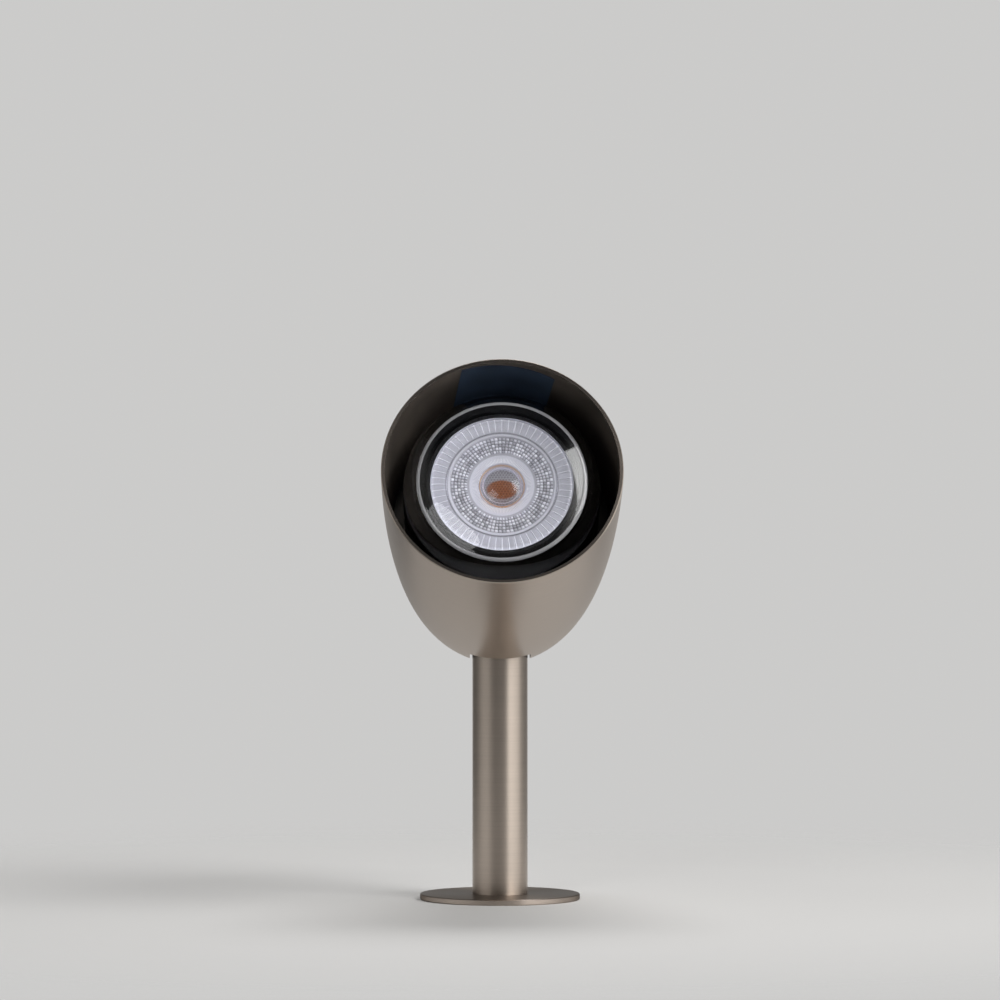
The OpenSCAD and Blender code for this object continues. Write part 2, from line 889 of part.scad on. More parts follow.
// Cord gland: a hollow threaded body through the housing's back, with its hexagon outside
module cable_gland() {
    color(BLACK)
        gland_axis(housing_end)
            difference() {
                union() {
                    translate([0, 0, -housing_back - gland_lock_h - gland_thread_end])
                        cylinder(r = gland_thread_r, h = housing_back + gland_lock_h + over);
                    cylinder(r = gland_hex_r, h = gland_hex_h, $fn = 6);
                    cylinder(r = gland_neck_r, h = gland_hex_h + gland_neck_h);
                }
                translate([0, 0, -housing_back - gland_lock_h - over])
                    cylinder(r = cord_hole_r, h = gland_hex_h + housing_back + gland_lock_h + over);
                translate([0, 0, gland_hex_h - over])
                    cylinder(r = cord_hole_r + gland_sleeve_t, h = gland_neck_h + 2 * over);
            }
}

// Rubber sleeve that the cap nut squeezes round the cord
module gland_seal() {
    color(RUBBER)
        gland_axis(housing_end + gland_hex_h - over)
            ring(cord_hole_r, cord_hole_r + gland_sleeve_t - press_gap, gland_neck_h + over);
}

// Cap nut that closes the gland on the cord
module gland_cap_nut() {
    color(BLACK)
        gland_axis(housing_end + gland_hex_h)
            difference() {
                intersection() {
                    cylinder(r = gland_nut_r, h = gland_nut_h, $fn = 6);
                    cylinder(r1 = gland_nut_r + 1, r2 = gland_nut_r - 1.2, h = gland_nut_h);
                }
                translate([0, 0, -over])
                    cylinder(r = cord_hole_r, h = gland_nut_h + 2 * over);
                translate([0, 0, -over])
                    cylinder(r = gland_neck_r + press_gap, h = gland_neck_h + over + press_gap);
            }
}

// Lock nut that holds the gland from inside the housing
module gland_lock_nut() {
    color(BLACK)
        gland_axis(floor_depth - gland_lock_h)
            difference() {
                cylinder(r = gland_hex_r, h = gland_lock_h, $fn = 6);
                translate([0, 0, -over])
                    cylinder(r = gland_thread_r + press_gap, h = gland_lock_h + 2 * over);
            }
}

// Round silicone seal in the housing's groove
module cover_seal() {
    color(SILICONE)
        in_head()
            rotate_extrude()
                translate([seal_r, -seal_depth])
                    circle(d = seal_d);
}

// Half section of a cup whose closed end is at the top, with a rounded edge
module cup_half(r, length, edge) {
    translate([0, -length])
        square([r, length - edge]);
    translate([0, -length])
        square([r - edge, length]);
    translate([r - edge, -edge])
        circle(r = edge);
}

// Clear cover: a jar with a rounded edge and three lugs inside its open end
module clear_cover() {
    color(CLEAR)
        in_head() {
            at_depth(cover_inset)
                rotate_extrude()
                    difference() {
                        cup_half(cover_or, cover_len, cover_round);
                        translate([0, -cover_wall])
                            cup_half(cover_ir, cover_len, cover_round - cover_wall);
                    }
            for (i = [0 : lug_count - 1])
                at_depth(cover_lug_depth + lug_len)
                    ring_part(
                        cover_lug_r, cover_ir + cover_wall / 2, lug_len,
                        lug_start + i * 360 / lug_count - lug_angle / 2, lug_angle
                    );
        }
}

// Ceramic lampholder with two keyhole slots that the lamp's pins turn in
module lampholder() {
    color(CERAMIC)
        in_head()
            difference() {
                at_depth(holder_foot)
                    intersection() {
                        translate([-holder_w / 2, -holder_dp / 2, 0])
                            cube([holder_w, holder_dp, holder_h]);
                        cylinder(d = holder_w, h = holder_h);
                    }
                for (a = [0, 180])
                    rotate([0, 0, a]) {
                        key_track(key_neck_r, holder_face - over, slot_lip + 2 * over);
                        key_track(key_head_r, holder_face + slot_lip, pocket_depth);
                        rotate([0, 0, lamp_turn])
                            at_depth(holder_face + slot_lip + over)
                                translate([pin_r, 0, 0])
                                    cylinder(r = key_head_r, h = slot_lip + 2 * over);
                    }
                both_sides()
                    at_depth(holder_face + seat_gap)
                        translate([holder_screw_x, 0, 0])
                            flat_screw_hole(holder_screw_d, holder_h + over);
                both_sides()
                    at_depth(lead_depth)
                        translate([terminal_pitch, -holder_dp / 2 + lead_seat, 0])
                            rotate([90, 0, 0])
                                cylinder(r = lead_r + press_gap, h = holder_dp);
            }
}

// The straight track that one pin moves along as it turns.
// Its middle is the arc's chord, and it is widened by the arc's rise
module key_track(r, depth, h) {
    chord = 2 * pin_r * sin(lamp_turn / 2);
    rise = pin_r * (1 - cos(lamp_turn / 2));
    at_depth(depth + h)
        translate([pin_r, 0, 0])
            rotate([0, 0, 90 + lamp_turn / 2]) {
                translate([0, -r - rise, 0])
                    cube([chord, 2 * (r + rise), h]);
                for (x = [0, chord])
                    translate([x, 0, 0])
                        cylinder(r = r + rise, h = h);
            }
}

// Two countersunk screws that hold the lampholder on its bosses
module holder_screws() {
    color(ZINC)
        in_head()
            both_sides()
                at_depth(holder_face + seat_gap)
                    translate([holder_screw_x, 0, 0])
                        flat_screw(holder_screw_d, holder_h + holder_boss_h);
}

// Contact blocks on the floor of the two pin pockets
module holder_contacts() {
    contact_h = holder_face + slot_lip + pocket_depth - (lamp_seat + pin_len) - free_gap;
    color(BRASS)
        in_head()
            both_sides()
                at_depth(holder_face + slot_lip + pocket_depth)
                    translate([pin_r, 0, 0])
                        cylinder(r = key_head_r - free_gap, h = contact_h);
}

// Short insulated leads from the holder to the outer terminals
module holder_leads() {
    start_y = holder_dp / 2 - lead_seat + lead_play;
    end_y = terminal_y - terminal_half_dp + lead_seat;
    color(WHITE)
        in_head()
            both_sides()
                at_depth(lead_depth)
                    translate([terminal_pitch, -start_y, 0])
                        rotate([90, 0, 0])
                            cylinder(r = lead_r, h = end_y - start_y);
}

// Three-way terminal block on the housing's floor, below the holder
module terminal_block() {
    color(WHITE)
        in_head()
            difference() {
                at_depth(floor_depth)
                    translate([-terminal_w / 2, -terminal_y - terminal_half_dp, 0])
                        cube([terminal_w, 2 * terminal_half_dp, terminal_h]);
                terminal_places()
                    cylinder(r = terminal_r, h = 4 * terminal_half_dp, center = true);
                terminal_places()
                    rotate([-90, 0, 0])
                        cylinder(r = clamp_screw_r + press_gap, h = terminal_h);
            }
}

// The terminals' axes, level with the leads
module terminal_places() {
    for (i = [-1 : 1])
        at_depth(lead_depth)
            translate([i * terminal_pitch, -terminal_y, 0])
                rotate([90, 0, 0])
                    children();
}

// Brass tubes with their clamping screws
module terminal_clamps() {
    tube_half = terminal_half_dp - clamp_inset;
    screw_h = terminal_h - (floor_depth - lead_depth) - clamp_inset;
    color(BRASS)
        in_head()
            terminal_places() {
                difference() {
                    cylinder(r = terminal_r - press_gap, h = 2 * tube_half, center = true);
                    cylinder(r = lead_r + play, h = 4 * tube_half, center = true);
                }
                difference() {
                    rotate([-90, 0, 0])
                        cylinder(r = clamp_screw_r, h = screw_h);
                    cylinder(r = lead_r + play, h = 4 * tube_half, center = true);
                }
            }
}

// Lamp's outer body: a rim that tapers to the base
module lamp_body() {
    t = lamp_shell_t;
    inner_r = lamp_r - lamp_shoulder_in - t;
    ledge_r = board_r - board_ledge;
    color(DARK)
        in_head()
            rotate_extrude()
                polygon([
                    [lens_r, -lamp_face],
                    [lamp_r - lamp_edge, -lamp_face],
                    [lamp_r, -lamp_face - lamp_edge],
                    [lamp_r, -lamp_face - lamp_rim_h],
                    [lamp_r - lamp_shoulder_in, -lamp_face - lamp_shoulder_h],
                    [lamp_flare_r, -base_top + lamp_flare_h],
                    [base_r, -base_top],
                    [base_r - t, -base_top],
                    [lamp_flare_r - t, -base_top + lamp_flare_h],
                    [inner_r, -board_back - board_ledge_t],
                    [ledge_r, -board_back - board_ledge_t],
                    [ledge_r, -board_back],
                    [inner_r - 1, -board_back],
                    [lens_r - 2, -lens_shelf],
                    [lens_r, -lens_shelf]
                ]);
}

// Lamp's base: a closed cup that carries the two pins
module lamp_base() {
    t = lamp_shell_t;
    color(IVORY)
        in_head()
            difference() {
                rotate_extrude()
                    polygon([
                        [base_r - t, -base_top],
                        [base_r, -base_top],
                        [base_r, -lamp_seat + base_edge_h],
                        [base_r - base_edge_r, -lamp_seat],
                        [0, -lamp_seat],
                        [0, -lamp_seat + t],
                        [base_r - t - 1, -lamp_seat + t],
                        [base_r - t, -lamp_seat + t + 2]
                    ]);
                both_sides()
                    at_depth(lamp_seat + over)
                        translate([pin_r, 0, 0])
                            cylinder(r = pin_neck_d / 2 + press_gap, h = t + 2 * over);
            }
}

// Two pins, each a neck with a larger head at its end
module lamp_pins() {
    color(BRASS)
        in_head()
            both_sides()
                translate([pin_r, 0, 0]) {
                    at_depth(lamp_seat + pin_len)
                        cylinder(d = pin_neck_d, h = pin_len + lamp_shell_t + pin_root);
                    at_depth(lamp_seat + pin_len)
                        cylinder(d = pin_head_d, h = pin_head_h);
                }
}

// Clear lens: a disc with a stepped ring, and a dome over the chip on a short collar
module lamp_lens() {
    r = lens_r - press_gap;
    front = -lamp_face - lens_edge;
    ring_floor = front - sunk_ring_depth;
    back = -board_depth + chip_t + chip_air;
    color(LENS)
        in_head()
            rotate_extrude()
                polygon([
                    [0, front - dome_crown],
                    [0.55 * dome_r, front - (dome_crown + dome_side) / 3],
                    [0.9 * dome_r, front - dome_side],
                    [dome_r, front - moat_depth],
                    [dome_r + moat_w, ring_floor],
                    [sunk_ring_r - lens_edge, ring_floor + sunk_ring_step],
                    [sunk_ring_r, ring_floor],
                    [sunk_ring_r + sunk_ring_w, ring_floor],
                    [sunk_ring_r + sunk_ring_w + lens_edge, ring_floor + sunk_ring_step],
                    [r - lens_edge, front],
                    [r, front - lens_edge],
                    [r, -lens_back],
                    [sunk_ring_r + sunk_ring_w + 2 * lens_edge, -lens_back],
                    [collar_r, back],
                    [0.9 * dome_r, back],
                    [0, back + chip_air]
                ]);
}

// Aluminium board that the chip sits on
module led_board() {
    color(BOARD_METAL)
        in_head()
            at_depth(board_back)
                cylinder(r = board_r, h = board_t);
}

// Light-emitting chip, a thin round coat of phosphor
module led_chip() {
    color(PHOSPHOR)
        in_head()
            at_depth(board_depth)
                cylinder(d = chip_d, h = chip_t);
}

// Driver board, on edge inside the lamp from the light board down into the base
module driver_board() {
    half_w = base_r - lamp_shell_t - pin_root;
    color(BOARD_GREEN)
        in_head()
            at_depth(driver_foot)
                translate([-half_w, -driver_t / 2, 0])
                    cube([2 * half_w, driver_t, driver_foot - board_back]);
}

// A capacitor, a coil and a control chip on the driver board
module driver_parts() {
    color(DARK)
        in_head() {
            at_depth(driver_mid + coil_r)
                translate([-capacitor_x, driver_t / 2 + capacitor_r + part_gap, 0])
                    cylinder(r = capacitor_r, h = capacitor_h);
            at_depth(driver_mid)
                translate([coil_x, driver_t / 2 + part_gap, 0])
                    rotate([-90, 0, 0])
                        cylinder(r = coil_r, h = coil_h);
            at_depth(driver_mid + control_drop)
                translate([-control_w / 2, -driver_t / 2 - control_t - part_gap, 0])
                    cube([control_w, control_t, control_h]);
        }
}

base_plate();
foot_plug();
foot_screws();
post_tube();
cable_grommet();
post_knuckle();
friction_washers();
spring_washers();
pivot_screws();
shade();
shade_ring();
label_film();
tilt_bracket();
bracket_screws();
lamp_housing();
housing_screws();
cable_gland();
gland_seal();
gland_cap_nut();
gland_lock_nut();
cover_seal();
clear_cover();
lampholder();
holder_screws();
holder_contacts();
holder_leads();
terminal_block();
terminal_clamps();
lamp_body();
lamp_base();
lamp_pins();
lamp_lens();
led_board();
led_chip();
driver_board();
driver_parts();
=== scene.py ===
import json
from math import cos, pi, radians, sin

import bpy
import numpy as np
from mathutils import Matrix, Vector


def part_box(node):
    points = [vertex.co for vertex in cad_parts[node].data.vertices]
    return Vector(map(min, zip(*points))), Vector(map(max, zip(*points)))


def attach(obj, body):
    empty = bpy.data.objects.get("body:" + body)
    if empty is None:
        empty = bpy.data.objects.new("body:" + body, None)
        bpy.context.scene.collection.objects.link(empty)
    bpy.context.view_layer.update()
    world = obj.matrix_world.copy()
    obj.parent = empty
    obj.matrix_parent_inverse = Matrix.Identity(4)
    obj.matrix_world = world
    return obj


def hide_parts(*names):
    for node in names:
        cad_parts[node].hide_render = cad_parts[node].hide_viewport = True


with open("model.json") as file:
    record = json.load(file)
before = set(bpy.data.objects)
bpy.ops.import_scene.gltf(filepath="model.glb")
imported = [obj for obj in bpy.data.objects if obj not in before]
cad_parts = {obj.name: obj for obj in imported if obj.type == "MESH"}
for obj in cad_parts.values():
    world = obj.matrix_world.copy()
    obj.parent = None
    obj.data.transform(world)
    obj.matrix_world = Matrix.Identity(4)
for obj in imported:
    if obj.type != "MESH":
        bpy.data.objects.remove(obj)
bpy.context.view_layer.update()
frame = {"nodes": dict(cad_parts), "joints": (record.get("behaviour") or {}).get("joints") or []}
nodes = frame["nodes"]


# Camera
# It stands 1.9 m in front of the post, a little above the lamp's height, and looks very slightly down.
# The long lens keeps the post's sides parallel.
camera_distance = 1.9
camera_height = 0.1639
camera_pitch = radians(0.804)
camera_azimuth = radians(0.55)
sensor_width = 36.0
focal_pixels = 5530.0
frame_pixels = 1000.0

camera_data = bpy.data.cameras.new("camera")
camera_data.sensor_width = sensor_width
camera_data.lens = sensor_width * focal_pixels / frame_pixels
camera = bpy.data.objects.new("camera", camera_data)
camera.location = (
    -camera_distance * sin(camera_azimuth),
    -camera_distance * cos(camera_azimuth),
    camera_height,
)
camera.rotation_euler = (pi / 2 - camera_pitch, 0.0, -camera_azimuth)
bpy.context.scene.collection.objects.link(camera)
bpy.context.scene.camera = camera


# Foot plate
# A disc of 2 mm stainless sheet with eased edges, ground on a turntable, so its fine lines are circles.
# Two countersunk screws from below hold it to the plug in the post.
mm = 0.001
foot_color = (0.50, 0.43, 0.375)
foot_edge = 0.25
line_pitch = 0.6 * mm
line_reach = 50 * mm
line_height = 0.012 * mm
line_detail = 4.0
line_rough = 0.6
noise_low = 0.3
noise_high = 0.7
ground_shades = (0.95, 1.05)
ground_rough = (0.29, 0.36)
# The colour of the inside faces: a duller unground finish, made darker as painted shade
dull_and_shade_color = (0.21, 0.18, 0.155)
mill_shades = (0.8, 1.15)
mill_rough = (0.40, 0.48)
# Painted shade and light on the inside faces: shares of their colour from the bottom height to the top
shade_and_light_shares = (0.25, 1.35)
shade_and_light_heights = (-22 * mm, 34 * mm)
stain_size = 20 * mm
stain_detail = 2.0
side_limit = 0.5 * mm
square_turn = (0.6, 0.9)
brush_stretch = 0.55
brush_turn = 0.25


def add(tree, kind, inputs=(), **settings):
    """Adds a shader node, sets its properties and fills its inputs with values or links."""
    made = tree.nodes.new("ShaderNode" + kind)
    for key, value in settings.items():
        setattr(made, key, value)
    for key, value in dict(inputs).items():
        if isinstance(value, bpy.types.NodeSocket):
            tree.links.new(value, made.inputs[key])
        else:
            made.inputs[key].default_value = value
    return made


def finish(name, color, roughness, metallic=0.0):
    """A material with one Principled shader: returns the material, its tree and the shader."""
    material = bpy.data.materials.new(name)
    material.use_nodes = True
    shader = material.node_tree.nodes["Principled BSDF"]
    shader.inputs["Base Color"].default_value = (*color, 1.0)
    shader.inputs["Roughness"].default_value = roughness
    shader.inputs["Metallic"].default_value = metallic
    return material, material.node_tree, shader


def object_place(tree):
    """The Object coordinates, in metres."""
    return add(tree, "TexCoord").outputs["Object"]


def axis_place(tree, center, axis):
    """Object coordinates seen from an axis through center, with Z along it: the place, its parts and radius.

    The axis has no X part, so its turn about X is the arctangent of minus its Y part over its Z part.
    """
    turn = float(np.arctan2(-axis[1], axis[2]))
    inputs = {"Vector": object_place(tree), "Location": center, "Rotation": (turn, 0.0, 0.0)}
    place = add(tree, "Mapping", inputs, vector_type="TEXTURE").outputs["Vector"]
    parts = add(tree, "SeparateXYZ", {"Vector": place}).outputs
    flat = add(tree, "CombineXYZ", {"X": parts["X"], "Y": parts["Y"]}).outputs["Vector"]
    radius = add(tree, "VectorMath", {0: flat}, operation="LENGTH").outputs["Value"]
    return place, parts, radius


def noise(tree, vector, size, detail, roughness=0.55):
    """Noise from 0 to 1 whose largest features are about that size, in metres of the vector."""
    inputs = {"Vector": vector, "Scale": 1.0 / size, "Detail": detail, "Roughness": roughness}
    return add(tree, "TexNoise", inputs).outputs["Fac"]


def spread(tree, value, low, high, start=noise_low, end=noise_high):
    """Maps the value from start..end to low..high. Most of a noise lies between noise_low and noise_high."""
    inputs = {"Value": value, "From Min": start, "From Max": end, "To Min": low, "To Max": high}
    return add(tree, "MapRange", inputs).outputs["Result"]


def tint(tree, value, low, high, start=noise_low, end=noise_high):
    """A colour that goes from low to high as the value goes from start to end."""
    made = add(tree, "ValToRGB", {"Fac": value})
    for element, place, color in zip(made.color_ramp.elements, (start, end), (low, high)):
        element.position = place
        element.color = (*color, 1.0)
    return made.outputs["Color"]


def scaled(color, factor):
    """The colour, made darker or lighter by a factor."""
    return tuple(min(1.0, factor * part) for part in color)


def shaded(tree, value, color, low, high, start=noise_low, end=noise_high):
    """The colour, from low times itself to high times itself as the value goes from start to end."""
    return tint(tree, value, scaled(color, low), scaled(color, high), start, end)


def relief(tree, shader, height, distance):
    """Bump of that real height, in metres."""
    made = add(tree, "Bump", {"Height": height, "Distance": distance, "Strength": 1.0})
    tree.links.new(made.outputs["Normal"], shader.inputs["Normal"])


def paint(names, material):
    """Puts a material on CAD nodes."""
    for name in names:
        for place in nodes[name].material_slots:
            place.material = material


def brushed_steel(name, ground, center, axis, edge=1.0, square_share=1.0):
    """Steel ground in lines round an axis through center, and left dull on the faces that look at the axis.

    The lines are noise read at x and y over a long reach, and at depth along the axis plus radius over one
    line's pitch, so they change fast across the lines and slowly along them. They move the colour and the
    roughness, and lift the surface a little. The shine is stretched across the lines, and edge is the share
    of it that is left at a grazing angle. Faces square to the axis have square_share of the roughness. The
    dull side is darker than the ground side, partly for its unground finish and partly as painted shade, and
    it has painted shade towards its bottom and painted light towards its top.
    """
    material, tree, shader = finish(name, ground, ground_rough[1], 1.0)
    place, parts, radius = axis_place(tree, center, axis)
    along = add(tree, "Math", {0: parts["Z"], 1: radius}, operation="ADD").outputs["Value"]
    squeeze = line_reach / line_pitch
    squeezed = add(tree, "Math", {0: along, 1: squeeze}, operation="MULTIPLY").outputs["Value"]
    vector = add(tree, "CombineXYZ", {"X": parts["X"], "Y": parts["Y"], "Z": squeezed}).outputs["Vector"]
    lines = noise(tree, vector, line_reach, line_detail, line_rough)
    stains = noise(tree, place, stain_size, stain_detail)

    arm = add(tree, "VectorMath", {0: object_place(tree), 1: center}, operation="SUBTRACT").outputs["Vector"]
    normal = add(tree, "TexCoord").outputs["Normal"]
    facing = add(tree, "VectorMath", {0: normal, 1: arm}, operation="DOT_PRODUCT").outputs["Value"]
    outside = spread(tree, facing, 0.0, 1.0, -side_limit, side_limit)

    # Painted shade on the inside faces: a darker colour, darker still towards the bottom, lighter towards
    # the top
    bare_color = shaded(tree, stains, dull_and_shade_color, *mill_shades)
    painted_shade = spread(tree, parts["Y"], *shade_and_light_shares, *shade_and_light_heights)
    painted_shade_inputs = {"Factor": 1.0, "A": bare_color, "B": painted_shade}
    dull_painted_color = add(tree, "Mix", painted_shade_inputs, data_type="RGBA", blend_type="MULTIPLY").outputs["Result"]
    color_inputs = {"Factor": outside, "A": dull_painted_color, "B": shaded(tree, lines, ground, *ground_shades)}
    color = add(tree, "Mix", color_inputs, data_type="RGBA").outputs["Result"]
    tree.links.new(color, shader.inputs["Base Color"])

    dull_rough = spread(tree, stains, *mill_rough)
    rough_inputs = {"Factor": outside, "A": dull_rough, "B": spread(tree, lines, *ground_rough)}
    rough = add(tree, "Mix", rough_inputs).outputs["Result"]
    square = add(tree, "VectorMath", {0: normal, 1: axis}, operation="DOT_PRODUCT").outputs["Value"]
    share = spread(tree, square, 1.0, square_share, *square_turn)
    rough = add(tree, "Math", {0: rough, 1: share}, operation="MULTIPLY").outputs["Value"]
    tree.links.new(rough, shader.inputs["Roughness"])

    relief(tree, shader, lines, line_height)
    around = add(tree, "VectorMath", {0: axis, 1: arm}, operation="CROSS_PRODUCT").outputs["Vector"]
    tangent = add(tree, "VectorTransform", {"Vector": around}, convert_from="OBJECT", convert_to="WORLD")
    tree.links.new(tangent.outputs["Vector"], shader.inputs["Tangent"])
    shader.inputs["Anisotropic"].default_value = brush_stretch
    shader.inputs["Anisotropic Rotation"].default_value = brush_turn
    shader.inputs["Specular Tint"].default_value = (edge, edge, edge, 1.0)
    return material


post_axis = ((0.0, 0.0, 0.0), (0.0, 0.0, 1.0))
paint(["base_plate"], brushed_steel("foot_steel", foot_color, *post_axis, edge=foot_edge))


# Foot plug, its screws and the other plated steel
# Turned and pressed steel parts with a thin bright zinc coat: the plug in the post's foot, the knuckle in
# its top, the pressed bracket, the ring welded in the shade, and every screw and spring washer.
zinc_color = (0.60, 0.60, 0.585)
cloud_detail = 2.0


def grained(
    name, color, shades, rough, grain, detail, lift, clouds=None, metallic=0.0, ends=(noise_low, noise_high),
):
    """A finish from two noises, a fine grain and wider clouds. With no size for clouds the grain is both.

    The grain takes the roughness from the first value of rough to the second, and lifts the surface by up to
    lift. The clouds take the colour from one share of itself to the other as they go between the two ends.
    """
    material, tree, shader = finish(name, color, rough[1], metallic)
    place = object_place(tree)
    fine = noise(tree, place, grain, detail)
    wide = noise(tree, place, clouds, cloud_detail) if clouds else fine
    tree.links.new(shaded(tree, wide, color, *shades, *ends), shader.inputs["Base Color"])
    tree.links.new(spread(tree, fine, *rough), shader.inputs["Roughness"])
    relief(tree, shader, fine, lift)
    return material


def bright_metal(name, color):
    """Plated or turned metal: cloudy patches in the colour over a fine grain in the roughness."""
    return grained(
        name, color, shades=(0.8, 1.08), rough=(0.24, 0.42), grain=1.6 * mm, detail=4.0, lift=0.008 * mm,
        clouds=12.8 * mm, metallic=1.0,
    )


paint([
    "foot_plug", "foot_screws", "post_knuckle", "spring_washers", "pivot_screws", "shade_ring",
    "tilt_bracket", "bracket_screws", "housing_screws", "holder_screws",
], bright_metal("bright_zinc", zinc_color))


# Post
# A length of 19 mm stainless tube, ground between belts as it turns, so its lines run round it.
# It is pressed over the foot plug and the knuckle.
steel_color = (0.52, 0.45, 0.39)
paint(["post_tube"], brushed_steel("post_steel", steel_color, *post_axis))


# Cord grommet and gland seal
# Moulded black rubber. The grommet snaps into the outlet in the back of the post, and the sleeve sits in the
# gland, where the cap nut squeezes it.
rubber_color = (0.016, 0.016, 0.017)


def soft_black(name, color, grain, rough):
    """Dull black moulding: a fine grain in the roughness and the surface, and dust 20 times as wide."""
    return grained(
        name, color, shades=(0.8, 1.5), rough=rough, grain=grain, detail=3.0, lift=0.015 * mm,
        clouds=20 * grain,
    )


rubber_material = soft_black("black_rubber", rubber_color, grain=0.5 * mm, rough=(0.55, 0.8))
paint(["cable_grommet", "gland_seal"], rubber_material)


# Friction washers
# Two discs punched from brown vulcanised fibre. The pivot screws clamp them between the knuckle and the
# bracket's ears, where they hold the tilt.
fibre_color = (0.16, 0.105, 0.065)
fibre_shades = (0.6, 1.5)
fibre_rough = 0.75
fleck_size = 0.6 * mm
fleck_height = 0.02 * mm
fibre_material, fibre_tree, fibre_shader = finish("brown_fibre", fibre_color, fibre_rough)
fibre_flecks = noise(fibre_tree, object_place(fibre_tree), fleck_size, detail=4.0)
fibre_patches = shaded(fibre_tree, fibre_flecks, fibre_color, *fibre_shades)
fibre_tree.links.new(fibre_patches, fibre_shader.inputs["Base Color"])
relief(fibre_tree, fibre_shader, fibre_flecks, fleck_height)
paint(["friction_washers"], fibre_material)


# Shade
# A bullet spun from 1.2 mm stainless sheet and ground on the lathe, so its lines run round the lamp's axis.
# The slot for the post is cut from below, and the mouth is trimmed square with a small bevel.
shade_shine = dict(edge=0.85, square_share=0.74)
lamp_joint = next(joint for joint in frame["joints"] if joint["name"] == "lamp_turn")
pivot = np.array(lamp_joint["pos_m"])
beam = np.array(lamp_joint["axis"])
beam = beam / np.linalg.norm(beam)
head_axis = (tuple(pivot), tuple(beam))
paint(["shade"], brushed_steel("shade_steel", steel_color, *head_axis, **shade_shine))


# Film
# A rectangle of dark blue-grey polyester, 0.15 mm thick, inside the top of the shade.
# It was pressed on by hand, so it has a few soft ripples.
film_color = (0.045, 0.068, 0.11)
paint(["label_film"], grained(
    "blue_film", film_color, shades=(0.8, 1.2), rough=(0.28, 0.42), grain=9 * mm, detail=2.0, lift=0.05 * mm,
))


# Lamp housing
# A glossy black moulding that screws to the ring in the shade and seals against the clear cover.
# Its polished face shows slight flow marks.
housing_color = (0.004, 0.004, 0.005)
paint(["lamp_housing"], grained(
    "black_moulding", housing_color, shades=(0.8, 1.4), rough=(0.1, 0.22), grain=12 * mm, detail=3.0,
    lift=0.02 * mm,
))


# Cord gland
# A hexagon body through the housing's back, a lock nut inside and a cap nut outside, moulded in black nylon
# with a fine spark texture.
nylon_color = (0.02, 0.02, 0.021)
nylon_material = soft_black("black_nylon", nylon_color, grain=0.3 * mm, rough=(0.38, 0.55))
paint(["cable_gland", "gland_cap_nut", "gland_lock_nut"], nylon_material)


# Cover seal
# A round cord of dark silicone rubber, soft and slightly tacky.
# It lies in the housing's groove, and the clear cover presses on it.
silicone_color = (0.02, 0.02, 0.022)
paint(["cover_seal"], soft_black("grey_silicone", silicone_color, grain=0.7 * mm, rough=(0.3, 0.45)))


# Lampholder
# Pressed and fired ceramic with two keyhole slots, screwed to the housing's floor through its waist.
# The body is off-white with small dark specks under a thin glaze.
ceramic_color = (0.78, 0.76, 0.70)
paint(["lampholder"], grained(
    "white_ceramic", ceramic_color, shades=(0.75, 1.0), rough=(0.45, 0.25), grain=0.9 * mm, detail=4.0,
    lift=0.02 * mm, ends=(0.24, 0.4),
))


# Contacts, clamps and lamp pins
# Turned and stamped brass, a little dulled by handling. The contacts sit in the holder's pockets, the clamps
# in the terminal block and the pins in the lamp's base.
brass_color = (0.66, 0.48, 0.22)
paint(["holder_contacts", "terminal_clamps", "lamp_pins"], bright_metal("dull_brass", brass_color))


# Terminal block, leads and lamp base
# White insulating plastic: a moulded three-way block, two short sleeved leads that join the holder to it,
# and the base that carries the lamp's pins.
white_color = (0.74, 0.74, 0.72)


def smooth_finish(name, color, grain):
    """Smooth moulding or coat: clouds 16 times the grain in the colour, and a fine grain in the surface."""
    return grained(
        name, color, shades=(0.92, 1.04), rough=(0.35, 0.5), grain=grain, detail=3.0, lift=0.008 * mm,
        clouds=16 * grain,
    )


white_material = smooth_finish("white_moulding", white_color, grain=0.6 * mm)
paint(["terminal_block", "holder_leads", "lamp_base"], white_material)


# Lamp body
# A dark plastic shell that makes the lamp's rim and tapers back to its base.
# Its inside is white, to throw the light forward.
shell_color = (0.005, 0.005, 0.006)
lining_color = (0.74, 0.74, 0.82)
lining_r = 23.6 * mm
lining_soft = 0.1 * mm
shell_rough = (0.25, 0.35)
shell_grain_size = 0.5 * mm
shell_grain_height = 0.004 * mm
shell_material, shell_tree, shell_shader = finish("lamp_shell", shell_color, shell_rough[0])
shell_place, _, shell_radius = axis_place(shell_tree, *head_axis)
shell_side = spread(shell_tree, shell_radius, 0.0, 1.0, lining_r - lining_soft, lining_r)
shell_tint = tint(shell_tree, shell_side, lining_color, shell_color)
shell_tree.links.new(shell_tint, shell_shader.inputs["Base Color"])
shell_grain = noise(shell_tree, shell_place, shell_grain_size, detail=3.0)
shell_tree.links.new(spread(shell_tree, shell_grain, *shell_rough), shell_shader.inputs["Roughness"])
relief(shell_tree, shell_shader, shell_grain, shell_grain_height)
paint(["lamp_body"], shell_material)


# Light board, chip and driver
# A white-coated aluminium disc carries a round chip under brown-orange phosphor. The driver's green board
# stands behind it with a capacitor, a coil and a control chip.
coat_color = (0.74, 0.74, 0.82)
phosphor_color = (0.48, 0.15, 0.035)
laminate_color = (0.02, 0.11, 0.05)
case_color = (0.03, 0.03, 0.035)
paint(["led_board"], smooth_finish("white_coat", coat_color, grain=0.5 * mm))
paint(["led_chip"], smooth_finish("phosphor", phosphor_color, grain=0.4 * mm))
paint(["driver_board"], smooth_finish("green_laminate", laminate_color, grain=0.8 * mm))
paint(["driver_parts"], soft_black("part_cases", case_color, grain=0.6 * mm, rough=(0.3, 0.5)))


# Lamp lens
# The lamp's front, moulded in clear plastic and held in the rim. Its collar stands round the chip, and its
# face has, from the edge inwards, ribs and flutes, rows of pillows, a ring of ticks, a bead and a dome.
across = np.array([1.0, 0.0, 0.0])
rise = np.cross(beam, across)


